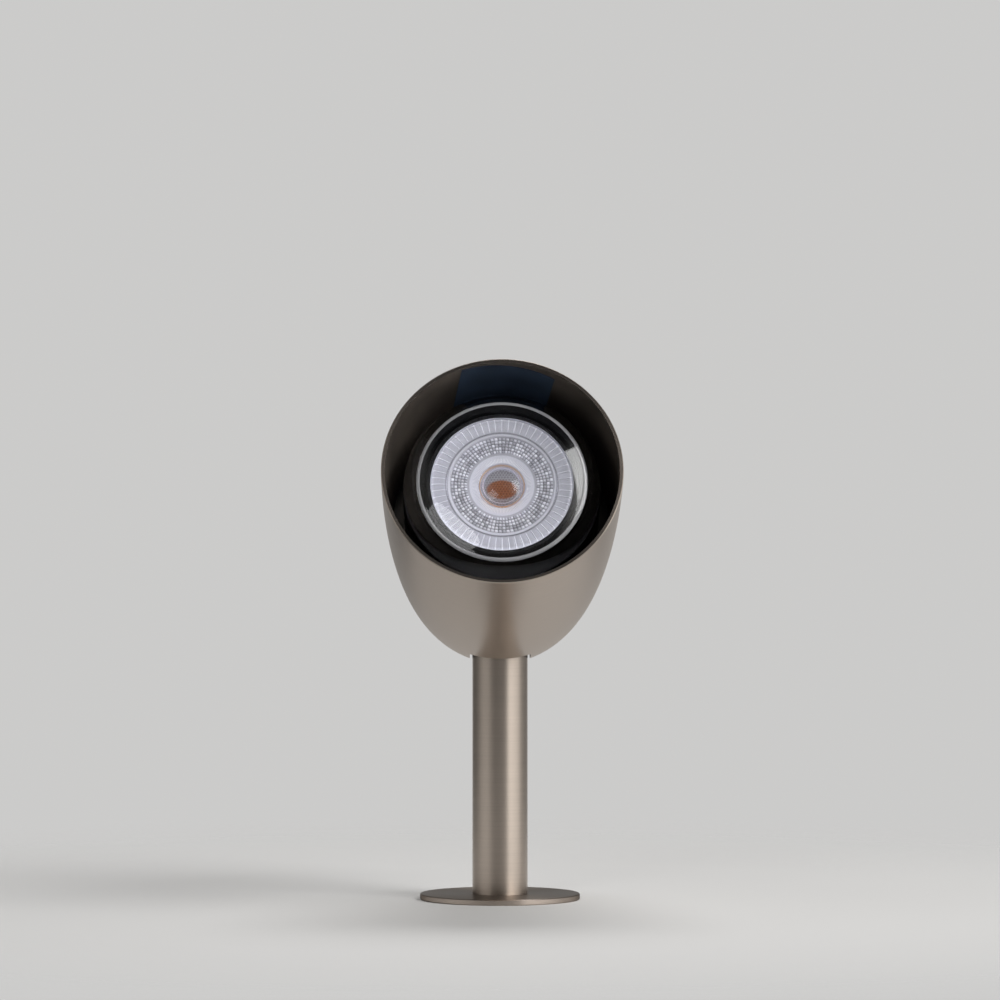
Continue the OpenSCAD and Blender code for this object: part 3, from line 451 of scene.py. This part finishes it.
def reach_along(name):
    """Nearest and furthest depth of a node, taken back along the beam from the pivot."""
    mesh = nodes[name].data
    flat = np.empty(3 * len(mesh.vertices))
    mesh.vertices.foreach_get("co", flat)
    reach = (flat.reshape(-1, 3) - pivot) @ beam
    return -reach.max(), -reach.min()


mouth = reach_along("shade")[0]


def in_head(x, y, depth):
    """Points x across and y up from the lamp's axis, at a depth behind the mouth."""
    return (
        pivot + np.multiply.outer(x, across) + np.multiply.outer(y, rise)
        - np.multiply.outer(mouth + depth, beam)
    )


def turned_shell(radius, depth, tips=None):
    """Points and face arrays of a closed shell about the lamp's axis, from two grids.

    Row i, column j is at the angle of column j, radius[i, j] from the axis and depth[i, j] behind the mouth.
    With tips, the first and the last row close to points on the axis at those two depths. Without, the last
    row joins the first, which makes a ring.
    """
    rows, count = radius.shape
    turn = 2 * pi * np.arange(count) / count
    points = in_head(radius * np.cos(turn), radius * np.sin(turn), depth).reshape(-1, 3)
    here = np.arange(rows * count).reshape(rows, count)
    if tips is None:
        here = np.concatenate([here, here[:1]])
    beside = np.roll(here, -1, axis=1)
    faces = [np.stack([here[:-1], here[1:], beside[1:], beside[:-1]], axis=-1).reshape(-1, 4)]
    if tips is not None:
        points = np.concatenate([points, in_head(np.zeros(2), np.zeros(2), np.array(tips))])
        first = np.full(count, rows * count)
        faces.append(np.stack([first, here[0], beside[0]], axis=-1))
        faces.append(np.stack([first + 1, beside[-1], here[-1]], axis=-1))
    return points, faces


def new_piece(name, shells, crease):
    """One object from closed shells, smooth but for edges that turn by more than the crease angle."""
    start = 0
    corners = []
    for points, faces in shells:
        for array in faces:
            corners += (array + start).tolist()
        start += len(points)
    mesh = bpy.data.meshes.new(name)
    mesh.from_pydata(np.concatenate([points for points, faces in shells]).tolist(), [], corners)
    mesh.shade_smooth()
    mesh.set_sharp_from_angle(angle=crease)
    made = bpy.data.objects.new(name, mesh)
    bpy.context.scene.collection.objects.link(made)
    return made


def face_middles(piece):
    """The middle of each face: its distance from the lamp's axis and its depth behind the mouth."""
    middles = np.empty(3 * len(piece.data.polygons))
    piece.data.polygons.foreach_get("center", middles)
    arms = middles.reshape(-1, 3) - pivot
    ahead = arms @ beam
    return np.linalg.norm(arms - np.outer(ahead, beam), axis=1), -mouth - ahead


def step(value, start, end):
    """0 below start, 1 above end, and a smooth rise between."""
    t = np.clip((value - start) / (end - start), 0.0, 1.0)
    return t * t * (3 - 2 * t)


def between(r, inner, outer, soft):
    """1 between two radii, 0 beyond them, with soft ends."""
    return step(r, inner - soft, inner + soft) * (1 - step(r, outer - soft, outer + soft))


def row_grid(rows, columns):
    """A column of values repeated across that many columns."""
    return rows[:, None] * np.ones(columns)


def ribbed(r, turn, inner, outer, rib, flute):
    """Height of the ribs and flutes: a tent on each rib, a parabola across each flute, and soft ends."""
    u = np.abs(2 * np.mod(turn * rib_count / (2 * pi), 1.0) - 1)
    tent = np.clip(1 - (1 - u) / rib_half, 0, 1)
    ends = step(r, inner, inner + rib_ends[0]) * (1 - step(r, outer - rib_ends[1], outer))
    return (rib * tent + flute * (1 - u * u)) * ends


def pillows(r, turn, inner, outer, height):
    """The product of two parabolas in each cell of a polar grid."""
    v = (r - inner) / (outer - inner) * pillow_rows
    row = np.clip(np.floor(v), 0, pillow_rows - 1)
    w = 2 * (v - row) - 1
    u = 2 * np.mod(turn * pillow_count / (2 * pi), 1.0) - 1
    inside = (v >= 0) & (v <= pillow_rows)
    return height * (1 - u * u) * np.clip(1 - w * w, 0, 1) * inside


def ticks(r, turn, inner, outer, height):
    """A cosine round the axis, present only between two radii."""
    band = step(r, inner, inner + tick_end) * (1 - step(r, outer - tick_end, outer))
    return height * np.cos(turn * tick_count) * band


def bead(r, middle, half, height):
    """A rounded ridge: half an ellipse across, of that half width and height."""
    return height * np.sqrt(np.clip(1 - ((r - middle) / half) ** 2, 0, 1))


def honeycomb(x, y, pitch, height):
    """A dimple at each point of a triangular lattice: 3 times the squared distance to it, in pitches."""
    def nearest(dx, dy):
        u = np.mod(x / pitch + dx + 0.5, 1.0) - 0.5
        v = (np.mod(y / (pitch * 3 ** 0.5) + dy + 0.5, 1.0) - 0.5) * 3 ** 0.5
        return u * u + v * v
    return height * np.minimum(nearest(0.0, 0.0), nearest(0.5, 0.5)) * 3


# The core: its face, the cone behind it, and the hollow over the chip with its dimpled window. The face line
# gives depths at radii, before the bead, the pillows and the ticks
core_columns = 480
pillow_count = 80
pillow_rows = 5
pillow_h = 0.35 * mm
pillow_r = (11.5 * mm, 17.0 * mm)
tick_count = 120
tick_h = 0.05 * mm
tick_r = (8.0 * mm, 9.9 * mm)
tick_end = 0.4 * mm
bead_r = 6.45 * mm
bead_half = 0.5 * mm
bead_h = 0.45 * mm
dome_r = 5.9 * mm
face_tip_r = 0.3 * mm
core_r = 18.25 * mm
pillow_steps = 6
face_line = mm * np.array([
    (0.0, 0.9), (3.4, 1.2), (5.7, 1.9), (5.95, 2.0), (7.0, 2.0), (7.5, 1.6), (8.0, 1.3), (9.9, 1.15),
    (11.5, 1.0), (17.0, 0.7), (17.4, 0.15), (18.25, 0.1),
])
rim_t = 3.0 * mm
cone_end_r = 9.6 * mm
cone_rows = 8
hollow_r = 6.0 * mm
hollow_near = 3.4 * mm
hollow_bow = 0.5 * mm
window_rows = 48
window_tip_r = 0.2 * mm
dimple_pitch = 0.95 * mm
dimple_h = 0.16 * mm

lens_near, lens_far = [depth - mouth for depth in reach_along("lamp_lens")]
lens_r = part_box("lamp_lens")[1].x
core_turn = 2 * pi * np.arange(core_columns) / core_columns
face_stops = [face_tip_r, dome_r, bead_r + bead_half, *tick_r, *pillow_r, core_r]
face_steps = [13, 12, 5, 9, 8, pillow_steps * pillow_rows, 6]
face_spans = [
    np.linspace(start, end, count + 1)[1:]
    for start, end, count in zip(face_stops, face_stops[1:], face_steps)
]
face_r = np.concatenate([[face_tip_r], *face_spans])
face_grid = row_grid(face_r, core_columns)
face_depth = (
    row_grid(lens_near + np.interp(face_r, *face_line.T), core_columns)
    - bead(face_grid, bead_r, bead_half, bead_h)
    - pillows(face_grid, core_turn, *pillow_r, pillow_h)
    + ticks(face_grid, core_turn, *tick_r, tick_h)
)
cone_r = np.linspace(core_r, cone_end_r, cone_rows)
cone_share = step(core_r - cone_r, 0.0, core_r - cone_end_r)
cone_depth = lens_near + rim_t + (lens_far - lens_near - rim_t) * cone_share
window_r = np.linspace(hollow_r, window_tip_r, window_rows)
window_grid = row_grid(window_r, core_columns)
window_places = (window_grid * np.cos(core_turn), window_grid * np.sin(core_turn))
window_depth = (
    row_grid(lens_near + hollow_near - hollow_bow * (1 - (window_r / hollow_r) ** 2), core_columns)
    - honeycomb(*window_places, dimple_pitch, dimple_h)
)
core_shell = turned_shell(
    np.concatenate([face_grid, row_grid(np.append(cone_r, hollow_r), core_columns), window_grid]),
    np.concatenate([face_depth, row_grid(np.append(cone_depth, lens_far), core_columns), window_depth]),
    (lens_near + face_line[0, 1], lens_near + hollow_near - hollow_bow),
)

# The rim: thin ribs between shallow flutes, a rounded edge and a flat back. A gap parts it from the core
rim_columns = 960
rim_inner_r = 18.4 * mm
rim_drop = 0.1 * mm
rib_count = 60
rib_columns = 2
rib_half = 2 * rib_count * rib_columns / rim_columns
rib_h = 0.4 * mm
rib_rows = 12
rib_ends = (1.4 * mm, 0.3 * mm)
flute_h = 0.22 * mm
edge_round = 0.4 * mm
edge_steps = 4
lens_crease = radians(34)

rim_turn = 2 * pi * np.arange(rim_columns) / rim_columns
rim_face = lens_near + rim_drop
rib_r = np.linspace(rim_inner_r, lens_r - edge_round, rib_rows)
rib_grid = row_grid(rib_r, rim_columns)
rib_depth = rim_face - ribbed(rib_grid, rim_turn, rim_inner_r, lens_r - edge_round, rib_h, flute_h)
edge_angle = np.linspace(0, pi / 2, edge_steps + 1)[1:]
edge_r = lens_r - edge_round + edge_round * np.sin(edge_angle)
edge_depth = rim_face + edge_round * (1 - np.cos(edge_angle))
rim_back_r = np.array([lens_r, rim_inner_r])
rim_back_depth = np.array([lens_near + rim_t, lens_near + rim_t])
rim_shell = turned_shell(
    np.concatenate([rib_grid, row_grid(edge_r, rim_columns), row_grid(rim_back_r, rim_columns)]),
    np.concatenate([rib_depth, row_grid(edge_depth, rim_columns), row_grid(rim_back_depth, rim_columns)]),
)
lens = new_piece("lens", [core_shell, rim_shell], lens_crease)

# Painted light and shade on the moulding, kept in a mesh attribute: painted glints on the pillows one by
# one, painted highlights on the ribs, and painted shade on the pillows' edges, a ring inside the pillows,
# the joint between core and rim, the flutes beside the ribs and the window's dimples
flash_seed = 5
flash_range = (0.45, 1.25)
pillow_edge_tone = 0.25
pillow_gain = 0.95
pillow_soft = 0.1 * mm
plain_tone = 0.92
side_tone = 0.9
tip_tone = 1.0
ring_shade = 0.35
ring_r = (pillow_r[0] - 0.7 * mm, pillow_r[0] - 0.1 * mm)
ring_soft = 0.15 * mm
tick_gain = 0.3
joint_shade = 0.5
joint_r = (core_r - 0.2 * mm, core_r + 1.0 * mm)
joint_soft = 0.1 * mm
dimple_tone = 0.55
dimple_gain = 0.9
flute_tone = 0.70
rib_gain = 0.75
rib_start_shade = 0.4
rib_start_run = 0.4 * mm
rib_end_gain = 0.3
rib_end_run = 1.2 * mm

flash = np.random.default_rng(flash_seed).uniform(*flash_range, (pillow_rows, pillow_count))
flash_row = np.floor((face_grid - pillow_r[0]) / (pillow_r[1] - pillow_r[0]) * pillow_rows)
flash_row = np.clip(flash_row, 0, pillow_rows - 1).astype(int)
flash_column = np.floor(core_turn * pillow_count / (2 * pi)).astype(int)
pillow_crown = np.sqrt(pillows(face_grid, core_turn, *pillow_r, 1.0))
pillow_tone = flash[flash_row, flash_column] * (pillow_edge_tone + pillow_gain * pillow_crown)
in_pillows = between(face_grid, *pillow_r, pillow_soft)
in_ring = between(face_grid, *ring_r, ring_soft)
in_joint = between(face_grid, *joint_r, joint_soft)
tick_tone = tick_gain * ticks(face_grid, core_turn, *tick_r, 1.0)
between_tone = plain_tone + tick_tone - joint_shade * in_joint - ring_shade * in_ring
face_tone = (1 - in_pillows) * between_tone + in_pillows * pillow_tone
side_tones = np.full((cone_rows + 1) * core_columns, side_tone)
window_tone = dimple_tone + dimple_gain * honeycomb(*window_places, dimple_pitch, 1.0)
core_tone = np.concatenate([face_tone.ravel(), side_tones, window_tone.ravel(), [tip_tone, tip_tone]])
rib_tone = flute_tone + rib_gain * ribbed(rib_grid, rim_turn, rim_inner_r, lens_r, 1.0, 0.0)
rib_tone -= rib_start_shade * (1 - step(rib_grid, rim_inner_r, rim_inner_r + rib_start_run))
rib_tone += rib_end_gain * step(rib_grid, lens_r - rib_end_run, lens_r - edge_round)
rim_tone = np.concatenate([rib_tone.ravel(), np.full(len(rim_shell[0]) - rib_tone.size, side_tone)])
painted_light = lens.data.attributes.new("painted_light", "FLOAT", "POINT")
painted_light.data.foreach_set("value", np.concatenate([core_tone, rim_tone]).astype(np.float32))


def with_painted_light(tree, color):
    """The colour, multiplied by the mesh's attribute of painted light and shade, so darker where it is low.
    """
    share = add(tree, "Attribute", attribute_name="painted_light").outputs["Fac"]
    mixing = {"Factor": 1.0, "A": color, "B": share}
    return add(tree, "Mix", mixing, data_type="RGBA", blend_type="MULTIPLY").outputs["Result"]


lens_color = (0.90, 0.90, 0.97)
fine_wave = dict(wave=0.004 * mm, wave_size=3 * mm)
refraction = 1.49
wave_shade = 0.97
shadow_color = (0.92, 0.92, 0.92, 1.0)


def clear_plastic(name, color, roughness, transmission, wave, wave_size):
    """Clear moulding with faint waves of that height and size, in metres.

    Lamps shine straight through it, so what lies behind it is lit.
    """
    material, tree, shader = finish(name, color, roughness)
    shader.inputs["Transmission Weight"].default_value = transmission
    shader.inputs["IOR"].default_value = refraction
    waves = noise(tree, object_place(tree), wave_size, detail=2.0)
    relief(tree, shader, waves, wave)
    tree.links.new(shaded(tree, waves, color, wave_shade, 1.0), shader.inputs["Base Color"])
    shadow = add(tree, "LightPath").outputs["Is Shadow Ray"]
    open_way = add(tree, "BsdfTransparent", {"Color": shadow_color})
    mixed = add(tree, "MixShader", {0: shadow, 1: shader.outputs["BSDF"], 2: open_way.outputs["BSDF"]})
    tree.links.new(mixed.outputs["Shader"], tree.nodes["Material Output"].inputs["Surface"])
    return material


# The core over the chip is fully clear, and a thin ring on its collar is painted orange: a painted
# reflection of the phosphor
clear_r = 7.95 * mm
painted_glow_color = (0.95, 0.50, 0.22)
glow_r = (7.1 * mm, 7.7 * mm)
glow_middle = sum(glow_r) / 2
glow_half = (glow_r[1] - glow_r[0]) / 2
glow_full = 0.7
dome_material = clear_plastic("lens_dome", lens_color, roughness=0.0, transmission=1.0, **fine_wave)
dome_tree = dome_material.node_tree
dome_radius = axis_place(dome_tree, *head_axis)[2]
glow_away = add(dome_tree, "Math", {0: dome_radius, 1: glow_middle}, operation="SUBTRACT").outputs["Value"]
glow_gap = add(dome_tree, "Math", {0: glow_away}, operation="ABSOLUTE").outputs["Value"]
glow_side = spread(dome_tree, glow_gap, 0.0, 1.0, glow_full * glow_half, glow_half)
dome_tree.links.new(
    tint(dome_tree, glow_side, painted_glow_color, lens_color),
    dome_tree.nodes["Principled BSDF"].inputs["Base Color"],
)

# The window is painted with what shows through it: a painted orange glow of the phosphor low in its middle,
# and the painted grey of the collar round it
window_painted_grey = (0.40, 0.395, 0.41)
window_painted_glow = (0.32, 0.115, 0.045)
window_glow_full = 0.85
window_glow_low = (0.0, -0.9 * mm, 0.0)
window_glow_reach = (5.3 * mm, 3.4 * mm)
window_material = clear_plastic("lens_window", window_painted_grey, roughness=0.05, transmission=0.35, **fine_wave)
window_tree = window_material.node_tree
window_parts = axis_place(window_tree, *head_axis)[1]
window_flat = add(window_tree, "CombineXYZ", {"X": window_parts["X"], "Y": window_parts["Y"]})
window_away = add(window_tree, "VectorMath", {
    0: window_flat.outputs["Vector"], 1: window_glow_low,
}, operation="SUBTRACT")
window_share = add(window_tree, "VectorMath", {
    0: window_away.outputs["Vector"], 1: (1 / window_glow_reach[0], 1 / window_glow_reach[1], 1.0),
}, operation="MULTIPLY").outputs["Vector"]
window_radius = add(window_tree, "VectorMath", {0: window_share}, operation="LENGTH").outputs["Value"]
window_tint = tint(window_tree, window_radius, window_painted_glow, window_painted_grey, window_glow_full, 1.0)
window_tree.links.new(
    with_painted_light(window_tree, window_tint),
    window_tree.nodes["Principled BSDF"].inputs["Base Color"],
)

# The rest of the face is cloudier, and takes its painted light and shade from the mesh
window_slack = 0.1 * mm
lens_wave = dict(wave=0.006 * mm, wave_size=4 * mm)
lens_material = clear_plastic("lens_plastic", lens_color, roughness=0.03, transmission=0.55, **lens_wave)
lens_tree = lens_material.node_tree
lens_socket = lens_tree.nodes["Principled BSDF"].inputs["Base Color"]
lens_tree.links.new(with_painted_light(lens_tree, lens_socket.links[0].from_socket), lens_socket)
lens.data.materials.append(lens_material)
lens.data.materials.append(dome_material)
lens.data.materials.append(window_material)
lens_face_r, lens_face_depth = face_middles(lens)
window_start = hollow_near - hollow_bow - dimple_h - window_slack
in_window = (lens_face_r < hollow_r) & (lens_face_depth - lens_near > window_start)
face_kind = np.where(in_window, 2, lens_face_r < clear_r)
lens.data.polygons.foreach_set("material_index", face_kind.astype(np.int32))
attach(lens, "lamp")
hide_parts("lamp_lens")


# Clear cover
# A thick jar of polished clear plastic with a crowned face and a rounded front edge. Three lugs inside its
# rim turn behind those of the housing, and squeeze the seal.
cover_columns = 360
cover_wall = 2.2 * mm
cover_round = 5.8 * mm
cover_crown = 2.1 * mm
crown_power = 4
cover_tip_r = 0.5 * mm
face_rows = 40
round_steps = 17
corner_r = 1.3 * mm
corner_rows = 6
slope_end_depth = 7.2 * mm
rim_bevel = 0.3 * mm
lug_depth = (31.3 * mm, 34.3 * mm)
lug_r = 29.3 * mm
lug_half_angle = radians(14)
lug_first_angle = radians(90)
lug_count = 3
lug_step = 0.02 * mm
cover_crease = radians(40)

cover_near, cover_far = [depth - mouth for depth in reach_along("clear_cover")]
cover_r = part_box("clear_cover")[1].x
cover_bore_r = cover_r - cover_wall
cover_length = cover_far - cover_near
face_edge_r = cover_r - cover_round
cover_turn = 2 * pi * np.arange(cover_columns) / cover_columns
flat_r = np.linspace(cover_tip_r, face_edge_r, face_rows)
flat_crown = -cover_crown * (1 - (flat_r / face_edge_r) ** crown_power)
crown_slope = np.arctan(crown_power * cover_crown / face_edge_r)
round_r = cover_round / (1 - sin(crown_slope))
round_angle = np.linspace(crown_slope, pi / 2, round_steps + 1)[1:]
corner_angle = np.linspace(pi / 2, 0, corner_rows)
lug_rows = np.array([lug_depth[1] + lug_step, lug_depth[1], lug_depth[0], lug_depth[0] - lug_step])
lug_away = np.mod(cover_turn - lug_first_angle + pi / lug_count, 2 * pi / lug_count) - pi / lug_count
lug_shape = (np.abs(lug_away) <= lug_half_angle) * (cover_bore_r - lug_r)

# From the face's middle round the outside to the rim, and back past the lugs, up a slope and round a tight
# corner to the inside of the face
cover_radius = np.concatenate([
    row_grid(flat_r, cover_columns),
    row_grid(face_edge_r + round_r * (np.sin(round_angle) - sin(crown_slope)), cover_columns),
    row_grid(np.array([cover_r, cover_r, cover_bore_r, cover_bore_r]), cover_columns),
    cover_bore_r - np.outer([0, 1, 1, 0], lug_shape),
    row_grid(np.array([cover_bore_r]), cover_columns),
    row_grid(face_edge_r + corner_r * np.sin(corner_angle), cover_columns),
    row_grid(flat_r[-2::-1], cover_columns),
])
cover_depth = cover_near + np.concatenate([
    flat_crown,
    round_r * (cos(crown_slope) - np.cos(round_angle)),
    [cover_length - rim_bevel, cover_length, cover_length, cover_length - rim_bevel],
    lug_rows,
    [slope_end_depth],
    cover_wall + corner_r * (1 - np.cos(corner_angle)),
    cover_wall + flat_crown[-2::-1],
])
cover_shell = turned_shell(
    cover_radius, row_grid(cover_depth, cover_columns),
    (cover_near - cover_crown, cover_near + cover_wall - cover_crown),
)
cover = new_piece("cover", [cover_shell], cover_crease)

# The inside corner is paler, rougher and less clear than the rest: a painted highlight that shows as a thin
# pale ring round the face
cover_color = (0.97, 0.98, 0.99)
painted_ring_color = (0.90, 0.90, 0.94)
painted_ring_middle = 0.4 * corner_r
painted_ring_half = 0.3 * corner_r
painted_ring_depth = (0.9 * cover_wall, cover_wall + 0.6 * corner_r)
cover_wave = dict(wave=0.01 * mm, wave_size=20 * mm)
cover_material = clear_plastic("clear_moulding", cover_color, roughness=0.0, transmission=1.0, **cover_wave)
painted_ring_material = clear_plastic("clear_corner", painted_ring_color, roughness=0.2, transmission=0.7, **cover_wave)
cover.data.materials.append(cover_material)
cover.data.materials.append(painted_ring_material)
cover_face_r, cover_face_depth = face_middles(cover)
in_corner = np.abs(cover_face_r - face_edge_r - painted_ring_middle) < painted_ring_half
in_corner &= cover_face_depth - cover_near > painted_ring_depth[0]
in_corner &= cover_face_depth - cover_near < painted_ring_depth[1]
cover.data.polygons.foreach_set("material_index", in_corner.astype(np.int32))
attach(cover, "cover")
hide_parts("clear_cover")


# Floor and light
# A plain pale floor that fades into a background of the same tone, three soft lamps, and a world that works
# as a studio: bright to the right, dimmer to the left, dark in front and high up.
floor_color = (0.70, 0.695, 0.685)
floor_rough = 0.9
floor_half = 3.0
fade_start = 0.14
fade_end = 0.40

floor_mesh = bpy.data.meshes.new("floor")
floor_corners = floor_half * np.array([[-1, -1, 0], [1, -1, 0], [1, 1, 0], [-1, 1, 0]], float)
floor_mesh.from_pydata(floor_corners.tolist(), [], [[0, 1, 2, 3]])
floor = bpy.data.objects.new("floor", floor_mesh)
bpy.context.scene.collection.objects.link(floor)
floor_material, floor_tree, floor_shader = finish("pale_floor", floor_color, floor_rough)
floor_radius = add(floor_tree, "VectorMath", {0: object_place(floor_tree)}, operation="LENGTH")
floor_fade = add(floor_tree, "MapRange", {
    "Value": floor_radius.outputs["Value"], "From Min": fade_start, "From Max": fade_end,
}, interpolation_type="SMOOTHSTEP").outputs["Result"]
floor_open = add(floor_tree, "BsdfTransparent")
floor_mix = add(floor_tree, "MixShader", {
    0: floor_fade, 1: floor_shader.outputs["BSDF"], 2: floor_open.outputs["BSDF"],
})
floor_tree.links.new(floor_mix.outputs["Shader"], floor_tree.nodes["Material Output"].inputs["Surface"])
floor_mesh.materials.append(floor_material)

# The studio: a level at each bearing in degrees, 0 in front and 90 on the right
studio_strength = 2.0
studio_tint = (1.0, 0.99, 0.97)
studio_levels = [
    (-180, 0.30), (-162, 0.20), (-128, 0.12), (-104, 0.20), (-88, 0.44), (-76, 0.58), (-52, 0.60),
    (-34, 0.20), (-24, 0.09), (25, 0.09), (37, 1.60), (60, 1.45), (80, 1.30), (97, 0.42), (120, 0.20),
    (160, 0.20), (180, 0.30),
]
high_color = (0.03, 0.03, 0.033)
high_start = sin(radians(28))
high_end = sin(radians(46))
high_lean = 0.38
low_left = 0.12
low_right = 0.36
low_reach = 0.6
low_end = -0.2

world = bpy.data.worlds.new("studio")
bpy.context.scene.world = world
world.use_nodes = True
world_tree = world.node_tree
sky = add(world_tree, "SeparateXYZ", {"Vector": add(world_tree, "TexCoord").outputs["Generated"]})
backward = add(world_tree, "Math", {0: sky.outputs["Y"], 1: -1.0}, operation="MULTIPLY").outputs["Value"]
bearing = add(world_tree, "Math", {0: sky.outputs["X"], 1: backward}, operation="ARCTAN2").outputs["Value"]
studio = add(world_tree, "ValToRGB", {"Fac": spread(world_tree, bearing, 0.0, 1.0, -pi, pi)})
levels = studio.color_ramp.elements
levels.remove(levels[-1])
for number, (degrees, level) in enumerate(studio_levels):
    position = degrees / 360 + 0.5
    element = levels.new(position) if number else levels[0]
    element.position = position
    element.color = (*scaled(studio_tint, level / studio_strength), 1.0)
to_side = add(world_tree, "Math", {0: sky.outputs["X"]}, operation="ABSOLUTE").outputs["Value"]
lean = add(world_tree, "Math", {0: to_side, 1: high_lean}, operation="MULTIPLY").outputs["Value"]
leaned = add(world_tree, "Math", {0: sky.outputs["Z"], 1: lean}, operation="SUBTRACT").outputs["Value"]
high_up = add(world_tree, "MapRange", {
    "Value": leaned, "From Min": high_start, "From Max": high_end,
}, interpolation_type="SMOOTHSTEP").outputs["Result"]
low_down = add(world_tree, "MapRange", {
    "Value": sky.outputs["Z"], "From Min": 0.0, "From Max": low_end,
}, interpolation_type="SMOOTHSTEP").outputs["Result"]
low_ends = (low_left / studio_strength, low_right / studio_strength)
low_share = spread(world_tree, sky.outputs["X"], *low_ends, -low_reach, low_reach)
low_mix = add(world_tree, "Mix", {
    "Factor": low_down, "A": studio.outputs["Color"], "B": low_share,
}, data_type="RGBA").outputs["Result"]
high_share = (*scaled(high_color, 1 / studio_strength), 1.0)
sky_color = add(world_tree, "Mix", {"Factor": high_up, "B": high_share}, data_type="RGBA")
world_tree.links.new(low_mix, sky_color.inputs["A"])
studio_light = world_tree.nodes["Background"]
studio_light.inputs["Strength"].default_value = studio_strength
world_tree.links.new(sky_color.outputs["Result"], studio_light.inputs["Color"])

# The plain background: the camera sees it, and so do metal and clear plastic where they look straight back
backdrop_color = (0.60, 0.597, 0.59)
behind_start = 0.86
behind_end = 0.97
plain = add(world_tree, "Background", {"Color": (*backdrop_color, 1.0), "Strength": 1.0})
paths = add(world_tree, "LightPath")
mirrored = add(world_tree, "Math", {
    0: paths.outputs["Is Glossy Ray"], 1: paths.outputs["Is Transmission Ray"],
}, operation="MAXIMUM").outputs["Value"]
behind = add(world_tree, "MapRange", {
    "Value": sky.outputs["Y"], "From Min": behind_start, "From Max": behind_end,
}, interpolation_type="SMOOTHSTEP").outputs["Result"]
mirrored_behind = add(world_tree, "Math", {0: mirrored, 1: behind}, operation="MULTIPLY").outputs["Value"]
seen = add(world_tree, "Math", {
    0: paths.outputs["Is Camera Ray"], 1: mirrored_behind,
}, operation="MAXIMUM").outputs["Value"]
world_mix = add(world_tree, "MixShader", {
    0: seen, 1: studio_light.outputs["Background"], 2: plain.outputs["Background"],
})
world_tree.links.new(world_mix.outputs["Shader"], world_tree.nodes["World Output"].inputs["Surface"])

head_middle = Vector((0.0, 0.0, 0.12))


def softbox(name, shape, size, watts, place):
    """A flat lamp that looks at the head of the spotlight."""
    data = bpy.data.lights.new(name, "AREA")
    data.shape = shape
    data.size, data.size_y = size
    data.energy = watts
    made = bpy.data.objects.new(name, data)
    made.location = place
    made.rotation_euler = (head_middle - Vector(place)).to_track_quat("-Z", "Y").to_euler()
    bpy.context.scene.collection.objects.link(made)
    return made


softbox("top_light", "ELLIPSE", size=(0.9, 0.9), watts=10.0, place=(0.1, 0.35, 1.5))
softbox("side_light", "RECTANGLE", size=(0.62, 0.8), watts=7.0, place=(0.82, -0.70, 0.90))
fill_light = softbox("fill_light", "ELLIPSE", size=(0.6, 0.6), watts=3.0, place=(-0.45, -1.3, 0.75))
fill_light.visible_glossy = False

bpy.context.scene.view_settings.view_transform = "Standard"
